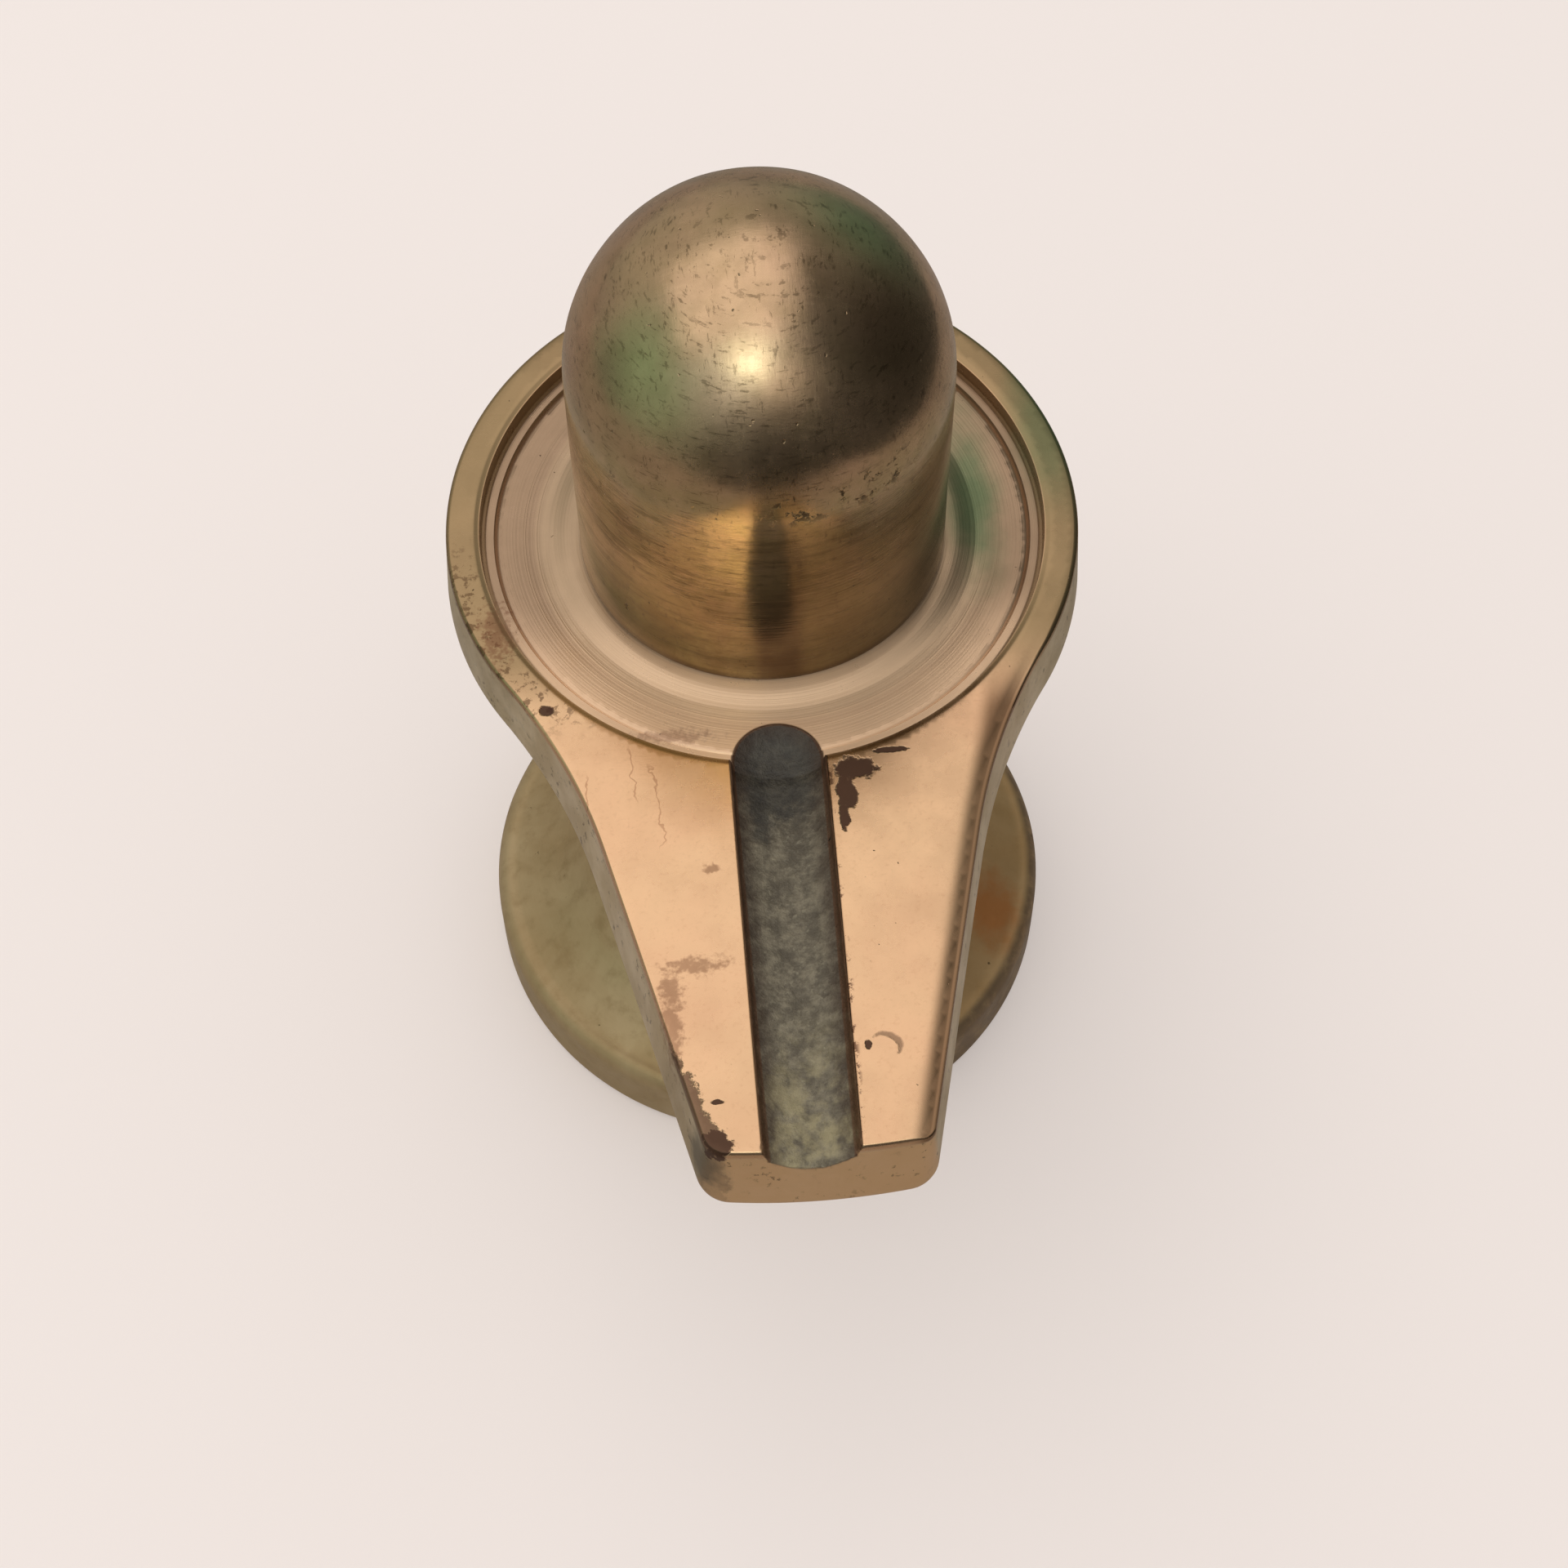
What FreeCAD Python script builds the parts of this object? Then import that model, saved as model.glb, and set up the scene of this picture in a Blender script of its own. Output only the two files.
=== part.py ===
"""Cast and turned brass lingam ornament.

A domed pillar stands in a round dish with a forward spout, on a waisted pedestal.

The pieces come apart on a bench: the pillar, the spouted dish and the pedestal are pulled together
by one threaded stud, with a washer and a nut in the hollow underside.
Millimetres, +Z up. The origin is on the table under the pillar's axis, and the spout points along -Y.
"""
import FreeCAD, Part
import math
import os

import Sketcher

os.makedirs("parts", exist_ok=True)
doc = FreeCAD.newDocument("lingam_ornament")

# ---------------------------------------------------------------- driving dimensions

SIZES = [
    ("rim_radius", 22.0, "dish rim, outside"),
    ("plate_top", 55.5, "height of the dish's rim over the table"),
    ("plate_thick", 5.7, "cast dish and spout"),
    ("plate_flare", 0.45, "how far the dish's cast wall spreads towards the underside"),
    ("left_flare", 0.8, "how far the spout's left wall spreads towards the underside"),
    ("right_flare", 0.5, "how far the spout's right wall spreads towards the underside"),
    ("recess_radius", 19.7, "turned basin, at its wall"),
    ("recess_depth", 1.3, "turned basin, at its floor"),
    ("ledge_width", 1.1, "fine step between the basin's wall and floor"),
    ("ledge_rise", 0.2, "fine step, over the floor"),
    ("collar_rise", 0.2, "the pillar's seat, over the basin's floor"),
    ("collar_flat", 13.4, "edge of the flat seat"),
    ("collar_foot", 16.0, "where the seat's slope meets the floor"),
    ("side_line", 18.04, "dish axis to the line of a spout side"),
    ("side_angle", 76.2, "spout side against the X axis, in degrees"),
    ("blend_radius", 42.0, "hollow curve from the dish into the spout side"),
    ("spout_reach", 47.6, "dish axis to the spout's end, at the top face"),
    ("end_bow", 66.0, "radius of the spout's bowed end at the top"),
    ("low_bow", 45.0, "radius of the spout's bowed end at the underside"),
    ("end_slope", 1.45, "how far the end face runs out towards the underside"),
    ("left_corner", 1.7, "spout end, left corner at the top face"),
    ("right_corner", 0.9, "spout end, right corner at the top face"),
    ("low_corner", 2.4, "spout end, both corners at the underside"),
    ("top_round", 0.3, "broken edge round the top face"),
    ("low_round", 0.7, "broken edge round the underside"),
    ("channel_head", 19.1, "dish axis to the centre of the channel's round head"),
    ("channel_end", 52.0, "dish axis to the last section of the cut, past the spout's end"),
    ("channel_over", 1.0, "top of the cut, over the top face"),
    ("head_shift", -0.45, "channel's place beside the middle of the spout, at its head"),
    ("head_wide", 3.3, "channel's half-width at its head, at the top of the cut"),
    ("head_foot", 2.95, "channel's half-width at its head, where the wall meets the floor"),
    ("head_wall", 1.3, "depth of the wall's foot at the head"),
    ("head_floor", 4.8, "radius of the rounded floor at the head"),
    ("tip_shift", -0.62, "channel's place beside the middle of the spout, at its end"),
    ("tip_wide", 3.5, "channel's half-width at its end, at the top of the cut"),
    ("tip_foot", 2.6, "channel's half-width at its end, where the wall meets the floor"),
    ("tip_wall", 0.65, "depth of the wall's foot at the end"),
    ("tip_floor", 4.5, "radius of the rounded floor at the end"),
    ("pillar_radius", 12.75, "domed pillar"),
    ("dome_centre", 17.6, "centre of the dome over the basin's floor"),
    ("spigot_radius", 6.0, "pillar's spigot in the dish's bore"),
    ("spigot_length", 4.4, "pillar's spigot"),
    ("bore_radius", 6.1, "dish's bore"),
    ("tap_radius", 3.0, "tapped hole in the pillar"),
    ("tap_depth", 14.0, "tapped hole, from the spigot's end"),
    ("drill_point", 1.7, "cone at the end of the tapped hole"),
    ("foot_radius", 22.85, "pedestal's foot"),
    ("foot_edge", 4.9, "upright part of the foot's edge"),
    ("foot_shoulder", 1.4, "rounded shoulder on the foot's edge"),
    ("foot_break", 0.5, "small chamfer where the foot meets the table"),
    ("waist_radius", 10.8, "pedestal's waist"),
    ("waist_low", 22.6, "lower end of the waist"),
    ("waist_high", 27.5, "upper end of the waist"),
    ("foot_sweep", 18.0, "radius of the hollow curve from foot to waist"),
    ("seat_sweep", 34.1, "radius of the hollow curve from waist to seat"),
    ("seat_radius", 17.5, "pedestal's seat under the dish"),
    ("seat_edge", 2.0, "upright part of the seat's edge"),
    ("wall_thick", 3.0, "pedestal's cast wall"),
    ("mouth_radius", 19.4, "hollow underside, at the table"),
    ("web_low", 36.0, "underside of the web that the nut pulls on"),
    ("stud_hole", 3.25, "stud's clearance hole in the web"),
    ("stud_radius", 2.95, "threaded stud"),
    ("stud_low", 27.4, "stud's lower end"),
    ("stud_high", 61.6, "stud's upper end"),
    ("stud_point", 0.6, "chamfer on the stud's ends"),
    ("washer_radius", 6.4, "washer"),
    ("washer_thick", 1.2, "washer"),
    ("washer_hole", 3.2, "washer's hole"),
    ("nut_corner", 5.77, "hexagon nut, over its corners"),
    ("nut_thick", 5.0, "hexagon nut"),
    ("nut_hole", 3.0, "hexagon nut's thread"),
]

sheet = doc.addObject("Spreadsheet::Sheet", "Size")
for row, (alias, amount, note) in enumerate(SIZES, start=1):
    sheet.set(f"A{row}", note)
    sheet.set(f"B{row}", str(amount))
    sheet.setAlias(f"B{row}", alias)
doc.recompute()


def number(formula):
    """The value of a formula on the sheet's cells, such as "Size.rim_radius / 2"."""
    return float(sheet.evalExpression(formula))


# ---------------------------------------------------------------- sketch helpers

ORIGIN = (-1, 1)
X_AXIS = -1
Y_AXIS = -2
START, END, CENTRE = 1, 2, 3


def new_body(label):
    body = doc.addObject("PartDesign::Body", label)
    body.Label = label
    return body


def new_sketch(body, name, plane):
    """A sketch on one of the body's own origin planes."""
    sketch = body.newObject("Sketcher::SketchObject", name)
    support = [part for part in body.Origin.OriginFeatures if part.Role == plane][0]
    sketch.AttachmentSupport = (support, [""])
    sketch.MapMode = "FlatFace"
    return sketch


def bind(sketch, kind, *where, to):
    """A dimension whose value is a formula on the sheet."""
    index = sketch.addConstraint(Sketcher.Constraint(kind, *where, number(to)))
    name = f"{kind.lower()}_{index}"
    sketch.renameConstraint(index, name)
    sketch.setExpression(f"Constraints.{name}", to)


def bind_angle(sketch, line, to, turn=1):
    """The angle of a line against the X axis. turn is -1 for a line that runs downwards."""
    index = sketch.addConstraint(Sketcher.Constraint("Angle", line, math.radians(turn * number(to))))
    name = f"angle_{index}"
    sketch.renameConstraint(index, name)
    sketch.setExpression(f"Constraints.{name}", f"{turn} * {to} * 1 deg")


def place_point(sketch, edge, end, across, up):
    """Pins a point by its two coordinates; "0" puts it on the axis."""
    if across == "0":
        sketch.addConstraint(Sketcher.Constraint("PointOnObject", edge, end, Y_AXIS))
    else:
        bind(sketch, "DistanceX", *ORIGIN, edge, end, to=across)
    if up == "0":
        sketch.addConstraint(Sketcher.Constraint("PointOnObject", edge, end, X_AXIS))
    else:
        bind(sketch, "DistanceY", *ORIGIN, edge, end, to=up)


def arc_between(start, end, radius):
    """An arc from start to end. A positive radius turns left on the way, and a negative one turns right."""
    chord = end - start
    middle = (start + end) / 2
    height = math.sqrt(max(radius**2 - (chord.Length / 2) ** 2, 0.0))
    left = FreeCAD.Vector(-chord.y, chord.x, 0).normalize()
    centre = middle + left * math.copysign(height, radius)
    first = math.atan2(start.y - centre.y, start.x - centre.x)
    last = math.atan2(end.y - centre.y, end.x - centre.x)
    circle = Part.Circle(centre, FreeCAD.Vector(0, 0, 1), abs(radius))
    if radius > 0:
        return Part.ArcOfCircle(circle, first, last)
    return Part.ArcOfCircle(circle, last, first)


def closed_profile(sketch, corners):
    """A closed outline of corners.

    Each corner is (across, up, arc), where arc is the radius formula of the arc to the next corner,
    or None for a straight line.
    """
    points = [FreeCAD.Vector(number(across), number(up), 0) for across, up, _ in corners]
    heads = []
    tails = []
    for index, (across, up, arc) in enumerate(corners):
        here, there = points[index], points[(index + 1) % len(points)]
        if arc is None:
            edge = sketch.addGeometry(Part.LineSegment(here, there), False)
            turns_left = True
        else:
            radius = number(arc)
            edge = sketch.addGeometry(arc_between(here, there, radius), False)
            turns_left = radius > 0
        heads.append((edge, START if turns_left else END))
        tails.append((edge, END if turns_left else START))
    for index in range(len(corners)):
        sketch.addConstraint(Sketcher.Constraint("Coincident", *tails[index - 1], *heads[index]))
    for index, (across, up, arc) in enumerate(corners):
        place_point(sketch, *heads[index], across, up)
        if arc is not None:
            bind(sketch, "Radius", heads[index][0], to=f"abs({arc})")


def turn(body, name, sketch, cut=False, axis="V_Axis"):
    """A full turn of a profile about one of its sketch's axes, added or cut away."""
    feature = body.newObject("PartDesign::Groove" if cut else "PartDesign::Revolution", name)
    feature.Profile = sketch
    feature.ReferenceAxis = (sketch, [axis])
    feature.Angle = 360
    sketch.Visibility = False
    return feature


def must_shrink(before, feature, what):
    """Compares volumes, as a cut that points away from the solid removes nothing and shows no error."""
    if not feature.Shape.Volume < before - 0.5:
        raise RuntimeError(f"{what} removed nothing")


# ---------------------------------------------------------------- domed pillar


def make_pillar():
    """Turned pillar with a half-round dome, spigot and tapped hole. Its origin is on the basin's floor."""
    body = new_body("lingam")
    profile = new_sketch(body, "pillar_profile", "XZ_Plane")
    hole_top = "Size.tap_depth - Size.spigot_length"
    closed_profile(profile, [
        ("0", f"{hole_top} + Size.drill_point", None),
        ("Size.tap_radius", hole_top, None),
        ("Size.tap_radius", "-Size.spigot_length", None),
        ("Size.spigot_radius", "-Size.spigot_length", None),
        ("Size.spigot_radius", "0", None),
        ("Size.pillar_radius", "0", None),
        ("Size.pillar_radius", "Size.dome_centre", "Size.pillar_radius"),
        ("0", "Size.dome_centre + Size.pillar_radius", None),
    ])
    turn(body, "pillar_turning", profile)
    body.setExpression("Placement.Base.z", "Size.plate_top - Size.recess_depth + Size.collar_rise")
    return body


# ---------------------------------------------------------------- spouted dish


def plate_outline(
    body, name, rim_out, left_out, right_out, end_out, left_corner, right_corner, end_bow, drop
):
    """One level of the plate's outline: dish, hollow blends, spout sides, rounded corners and bowed end.

    The four "out" amounts move the rim, the spout's two sides and its end outwards.
    drop is the level's depth under the top face. All are formulas on the sheet.
    """
    sketch = new_sketch(body, name, "XY_Plane")
    sketch.setExpression("AttachmentOffset.Base.z", f"-({drop})")
    rim_formula = f"Size.rim_radius + ({rim_out})"
    blend_formula = f"Size.blend_radius - ({rim_out})"
    left_formula = f"Size.side_line + ({left_out})"
    right_formula = f"Size.side_line + ({right_out})"
    end_formula = f"{end_bow} - Size.spout_reach - ({end_out})"

    rim = number(rim_formula)
    blend = number(blend_formula)
    bow = number(end_bow)
    bow_centre = FreeCAD.Vector(0, number(end_formula), 0)
    steep = math.radians(90 - number("Size.side_angle"))
    normal = FreeCAD.Vector(math.cos(steep), -math.sin(steep), 0)
    along = FreeCAD.Vector(-math.sin(steep), -math.cos(steep), 0)

    def mirrored(point):
        return FreeCAD.Vector(-point.x, point.y, 0)

    def right_hand_side(line_out, corner):
        """Centres of the blend and corner on the +X side, and where both meet their neighbours."""
        drop_along = math.sqrt((rim + blend) ** 2 - (line_out + blend) ** 2)
        blend_centre = normal * (line_out + blend) + along * drop_along
        start = normal * (line_out - corner) - bow_centre
        half = start.dot(along)
        run = -half + math.sqrt(half**2 - start.Length**2 + (bow - corner) ** 2)
        corner_centre = start + along * run + bow_centre
        return {
            "blend": blend_centre,
            "on_rim": blend_centre * (rim / blend_centre.Length),
            "on_side": blend_centre - normal * blend,
            "corner": corner_centre,
            "side_end": corner_centre + normal * corner,
            "on_end": bow_centre + (corner_centre - bow_centre).normalize() * bow,
        }

    def arc(centre, radius, first, last):
        """An arc about centre, anticlockwise from the direction of one point to that of another."""
        circle = Part.Circle(centre, FreeCAD.Vector(0, 0, 1), radius)
        angles = [math.atan2(point.y - centre.y, point.x - centre.x) for point in (first, last)]
        return Part.ArcOfCircle(circle, *angles)

    left, right = number(left_corner), number(right_corner)
    on_right = right_hand_side(number(right_formula), right)
    on_left = {key: mirrored(point) for key, point in right_hand_side(number(left_formula), left).items()}
    geometry = [
        arc(FreeCAD.Vector(0, 0, 0), rim, on_right["on_rim"], on_left["on_rim"]),
        arc(on_left["blend"], blend, on_left["on_side"], on_left["on_rim"]),
        Part.LineSegment(on_left["on_side"], on_left["side_end"]),
        arc(on_left["corner"], left, on_left["side_end"], on_left["on_end"]),
        arc(bow_centre, bow, on_left["on_end"], on_right["on_end"]),
        arc(on_right["corner"], right, on_right["on_end"], on_right["side_end"]),
        Part.LineSegment(on_right["side_end"], on_right["on_side"]),
        arc(on_right["blend"], blend, on_right["on_rim"], on_right["on_side"]),
    ]
    rim_arc, left_blend, left_side, left_arc, end_arc, right_arc, right_side, right_blend = (
        sketch.addGeometry(piece, False) for piece in geometry
    )
    smooth_joints = [
        (rim_arc, END, left_blend, END),
        (left_blend, START, left_side, START),
        (left_side, END, left_arc, START),
        (left_arc, END, end_arc, START),
        (end_arc, END, right_arc, START),
        (right_arc, END, right_side, START),
        (right_side, END, right_blend, END),
        (right_blend, START, rim_arc, START),
    ]
    for joint in smooth_joints:
        sketch.addConstraint(Sketcher.Constraint("Tangent", *joint))
    sketch.addConstraint(Sketcher.Constraint("Coincident", rim_arc, CENTRE, *ORIGIN))
    sketch.addConstraint(Sketcher.Constraint("PointOnObject", end_arc, CENTRE, Y_AXIS))
    bind(sketch, "Radius", rim_arc, to=rim_formula)
    bind(sketch, "Radius", left_blend, to=blend_formula)
    bind(sketch, "Radius", right_blend, to=blend_formula)
    bind(sketch, "Radius", left_arc, to=left_corner)
    bind(sketch, "Radius", right_arc, to=right_corner)
    bind(sketch, "Radius", end_arc, to=end_bow)
    bind(sketch, "DistanceY", *ORIGIN, end_arc, CENTRE, to=end_formula)
    bind(sketch, "Distance", *ORIGIN, left_side, to=left_formula)
    bind(sketch, "Distance", *ORIGIN, right_side, to=right_formula)
    bind_angle(sketch, left_side, "Size.side_angle", turn=-1)
    bind_angle(sketch, right_side, "Size.side_angle")
    return sketch


def channel_section(body, end, distance):
    """The channel's cross-section at its head or its tip: leaning walls and a rounded floor."""
    sketch = new_sketch(body, f"channel_{end}_section", "XZ_Plane")
    sketch.setExpression("AttachmentOffset.Base.x", f"Size.{end}_shift")
    sketch.setExpression("AttachmentOffset.Base.z", distance)
    closed_profile(sketch, [
        (f"-Size.{end}_wide", "Size.channel_over", None),
        (f"-Size.{end}_foot", f"-Size.{end}_wall", f"Size.{end}_floor"),
        (f"Size.{end}_foot", f"-Size.{end}_wall", None),
        (f"Size.{end}_wide", "Size.channel_over", None),
    ])
    return sketch


def make_dish():
    """Cast plate with a turned basin, a channelled spout and a bore. Its origin is on the top face."""
    body = new_body("spouted_dish")
    def inwards(amount, by):
        return f"{amount} - Size.{by}"

    spread = ["Size.plate_flare", "Size.left_flare", "Size.right_flare", "Size.end_slope"]
    low_corners = ["Size.low_corner", "Size.low_corner"]
    top_corners = ["Size.left_corner", "Size.right_corner"]
    levels = [
        ("underside", *[inwards(amount, "low_round") for amount in spread + low_corners],
         "Size.low_bow", "Size.plate_thick"),
        ("low_edge", *spread, *low_corners, "Size.low_bow", "Size.plate_thick - Size.low_round"),
        ("top_edge", "0", "0", "0", "0", *top_corners, "Size.end_bow", "Size.top_round"),
        ("top_face", *[inwards(amount, "top_round") for amount in ["0"] * 4 + top_corners],
         "Size.end_bow", "0"),
    ]
    outlines = [plate_outline(body, *level) for level in levels]
    doc.recompute()
    plate = body.newObject("PartDesign::AdditiveLoft", "cast_plate")
    plate.Profile = outlines[0]
    plate.Sections = outlines[1:]
    plate.Ruled = True
    doc.recompute()

    solid = body.Shape.Volume
    basin = new_sketch(body, "basin_profile", "XZ_Plane")
    floor = "-Size.recess_depth"
    seat = "Size.collar_rise - Size.recess_depth"
    ledge = "Size.ledge_rise - Size.recess_depth"
    closed_profile(basin, [
        ("0", seat, None),
        ("Size.collar_flat", seat, None),
        ("Size.collar_foot", floor, None),
        ("Size.recess_radius - Size.ledge_width", floor, None),
        ("Size.recess_radius - Size.ledge_width", ledge, None),
        ("Size.recess_radius", ledge, None),
        ("Size.recess_radius", "Size.recess_depth", None),
        ("0", "Size.recess_depth", None),
    ])
    cut = turn(body, "basin", basin, cut=True)
    doc.recompute()
    must_shrink(solid, cut, "the basin")

    solid = body.Shape.Volume
    hole = new_sketch(body, "bore_profile", "XZ_Plane")
    closed_profile(hole, [
        ("0", "-Size.plate_thick - 1", None),
        ("Size.bore_radius", "-Size.plate_thick - 1", None),
        ("Size.bore_radius", "0", None),
        ("0", "0", None),
    ])
    cut = turn(body, "bore", hole, cut=True)
    doc.recompute()
    must_shrink(solid, cut, "the bore")

    solid = body.Shape.Volume
    sections = [
        channel_section(body, "head", "Size.channel_head"),
        channel_section(body, "tip", "Size.channel_end"),
    ]
    doc.recompute()
    cut = body.newObject("PartDesign::SubtractiveLoft", "channel")
    cut.Profile = sections[0]
    cut.Sections = sections[1:]
    cut.Ruled = True
    doc.recompute()
    must_shrink(solid, cut, "the channel")

    solid = body.Shape.Volume
    bowl = new_sketch(body, "channel_head_profile", "XZ_Plane")
    bowl.setExpression("AttachmentOffset.Base.x", "Size.head_shift")
    bowl.setExpression("AttachmentOffset.Base.z", "Size.channel_head")
    half_chord = "sqrt(Size.head_floor^2 - Size.head_foot^2)"
    closed_profile(bowl, [
        ("0", f"{half_chord} - Size.head_wall - Size.head_floor", "Size.head_floor"),
        ("Size.head_foot", "-Size.head_wall", None),
        ("Size.head_wide", "Size.channel_over", None),
        ("0", "Size.channel_over", None),
    ])
    cut = turn(body, "channel_head", bowl, cut=True)
    cut.Angle = 180
    doc.recompute()
    if not cut.Shape.Volume < solid - 0.5:
        cut.Reversed = True
        doc.recompute()
    must_shrink(solid, cut, "the channel's head")

    body.setExpression("Placement.Base.z", "Size.plate_top")
    return body


# ---------------------------------------------------------------- pedestal


def make_pedestal():
    """Hollow turned pedestal: foot, waist and seat, with a thick web under the seat for the nut."""
    body = new_body("pedestal")
    seat = "Size.plate_top - Size.plate_thick"
    profile = new_sketch(body, "pedestal_profile", "XZ_Plane")
    sweep_centre = number("Size.waist_radius + Size.foot_sweep")
    across = sweep_centre - number("Size.foot_radius - Size.foot_shoulder")
    flare_top = number("Size.waist_low") - math.sqrt(number("Size.foot_sweep") ** 2 - across**2)
    if abs(flare_top - number("Size.foot_edge + Size.foot_shoulder")) > 0.5:
        raise RuntimeError("the foot's curve doesn't meet its shoulder")
    inner_centre = "(Size.waist_radius + Size.foot_sweep)"
    inner_sweep = "(Size.foot_sweep + Size.wall_thick)"
    inner_low = f"Size.waist_low - sqrt({inner_sweep}^2 - ({inner_centre} - Size.mouth_radius)^2)"
    outer_low = (f"Size.waist_low - sqrt(Size.foot_sweep^2"
                 f" - ({inner_centre} - Size.foot_radius + Size.foot_shoulder)^2)")
    closed_profile(profile, [
        ("Size.mouth_radius", "0", None),
        ("Size.foot_radius - Size.foot_break", "0", None),
        ("Size.foot_radius", "Size.foot_break", None),
        ("Size.foot_radius", "Size.foot_edge", "Size.foot_shoulder"),
        ("Size.foot_radius - Size.foot_shoulder", outer_low, "-Size.foot_sweep"),
        ("Size.waist_radius", "Size.waist_low", None),
        ("Size.waist_radius", "Size.waist_high", "-Size.seat_sweep"),
        ("Size.seat_radius", f"{seat} - Size.seat_edge", None),
        ("Size.seat_radius", seat, None),
        ("Size.stud_hole", seat, None),
        ("Size.stud_hole", "Size.web_low", None),
        ("Size.waist_radius - Size.wall_thick", "Size.web_low", None),
        ("Size.waist_radius - Size.wall_thick", "Size.waist_low", inner_sweep),
        ("Size.mouth_radius", inner_low, None),
    ])
    turn(body, "pedestal_turning", profile)
    return body


# ---------------------------------------------------------------- stud, washer and nut


def make_stud():
    """Threaded stud, at its thread's outside diameter. Local origin at its lower end."""
    body = new_body("tie_stud")
    profile = new_sketch(body, "stud_profile", "XZ_Plane")
    length = "Size.stud_high - Size.stud_low"
    closed_profile(profile, [
        ("0", "0", None),
        ("Size.stud_radius - Size.stud_point", "0", None),
        ("Size.stud_radius", "Size.stud_point", None),
        ("Size.stud_radius", f"{length} - Size.stud_point", None),
        ("Size.stud_radius - Size.stud_point", length, None),
        ("0", length, None),
    ])
    turn(body, "stud_turning", profile)
    body.setExpression("Placement.Base.z", "Size.stud_low")
    return body


def make_washer():
    """Flat washer against the web. Local origin on its lower face."""
    body = new_body("washer")
    face = new_sketch(body, "washer_face", "XY_Plane")
    for alias in ("washer_radius", "washer_hole"):
        circle = Part.Circle(FreeCAD.Vector(0, 0, 0), FreeCAD.Vector(0, 0, 1), number(f"Size.{alias}"))
        ring = face.addGeometry(circle, False)
        face.addConstraint(Sketcher.Constraint("Coincident", ring, CENTRE, *ORIGIN))
        bind(face, "Radius", ring, to=f"Size.{alias}")
    pad = body.newObject("PartDesign::Pad", "washer_pad")
    pad.Profile = face
    pad.setExpression("Length", "Size.washer_thick")
    body.setExpression("Placement.Base.z", "Size.web_low - Size.washer_thick")
    return body


def make_nut():
    """Hexagon nut under the washer, with its thread at the nominal diameter."""
    block = doc.addObject("Part::Prism", "nut_block")
    block.Polygon = 6
    block.setExpression("Circumradius", "Size.nut_corner")
    block.setExpression("Height", "Size.nut_thick")
    thread = doc.addObject("Part::Cylinder", "nut_thread")
    thread.setExpression("Radius", "Size.nut_hole")
    thread.setExpression("Height", "Size.nut_thick")
    nut = doc.addObject("Part::Cut", "nut")
    nut.Label = "nut"
    nut.Base = block
    nut.Tool = thread
    nut.setExpression("Placement.Base.z", "Size.web_low - Size.washer_thick - Size.nut_thick")
    return nut


# ---------------------------------------------------------------- build, check and write

pieces = [make_pillar(), make_dish(), make_pedestal(), make_stud(), make_washer(), make_nut()]
doc.recompute()

for thing in doc.Objects:
    if "Invalid" in thing.State or "Error" in thing.State:
        raise RuntimeError(f"{thing.Label} failed: {thing.State}")
for piece in pieces:
    if piece.Shape.isNull() or not piece.Shape.isValid() or len(piece.Shape.Solids) != 1:
        raise RuntimeError(f"{piece.Label} is not one valid solid")
for piece in pieces:
    piece.Shape.exportStep(f"parts/{piece.Label}.step")
    box = piece.Shape.optimalBoundingBox()
    reach = [(box.XMin, box.XMax), (box.YMin, box.YMax), (box.ZMin, box.ZMax)]
    spans = "   ".join(f"{axis} {low:7.2f} {high:7.2f}" for axis, (low, high) in zip("xyz", reach))
    print(f"{piece.Label:13s} volume {piece.Shape.Volume:9.1f} mm3   {spans}")
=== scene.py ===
import math

import bmesh
import bpy
import numpy as np
from mathutils import Matrix, Vector, geometry, noise


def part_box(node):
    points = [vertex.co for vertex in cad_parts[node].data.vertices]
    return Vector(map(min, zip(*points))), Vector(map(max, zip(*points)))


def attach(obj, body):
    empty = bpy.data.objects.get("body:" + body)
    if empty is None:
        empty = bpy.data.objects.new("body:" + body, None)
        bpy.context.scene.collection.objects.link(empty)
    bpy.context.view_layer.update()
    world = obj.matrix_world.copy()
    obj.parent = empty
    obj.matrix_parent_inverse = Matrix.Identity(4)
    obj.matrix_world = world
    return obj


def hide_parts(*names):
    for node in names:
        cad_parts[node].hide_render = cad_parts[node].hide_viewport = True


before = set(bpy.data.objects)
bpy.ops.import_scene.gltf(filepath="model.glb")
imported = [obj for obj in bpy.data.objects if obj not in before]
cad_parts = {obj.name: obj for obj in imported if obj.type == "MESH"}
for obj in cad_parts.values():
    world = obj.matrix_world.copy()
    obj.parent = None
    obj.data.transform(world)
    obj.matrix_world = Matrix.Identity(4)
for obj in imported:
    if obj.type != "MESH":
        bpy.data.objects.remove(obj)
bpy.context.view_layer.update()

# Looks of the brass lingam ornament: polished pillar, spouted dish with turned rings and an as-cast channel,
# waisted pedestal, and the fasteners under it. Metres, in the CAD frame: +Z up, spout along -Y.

MM = 0.001

# ---------------------------------------------------------------- places and sizes

dish_low, dish_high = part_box("spouted_dish")
pillar_low, pillar_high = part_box("lingam")
pedestal_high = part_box("pedestal")[1]
stud_low, stud_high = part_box("tie_stud")
nut_low, nut_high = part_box("nut")

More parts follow.
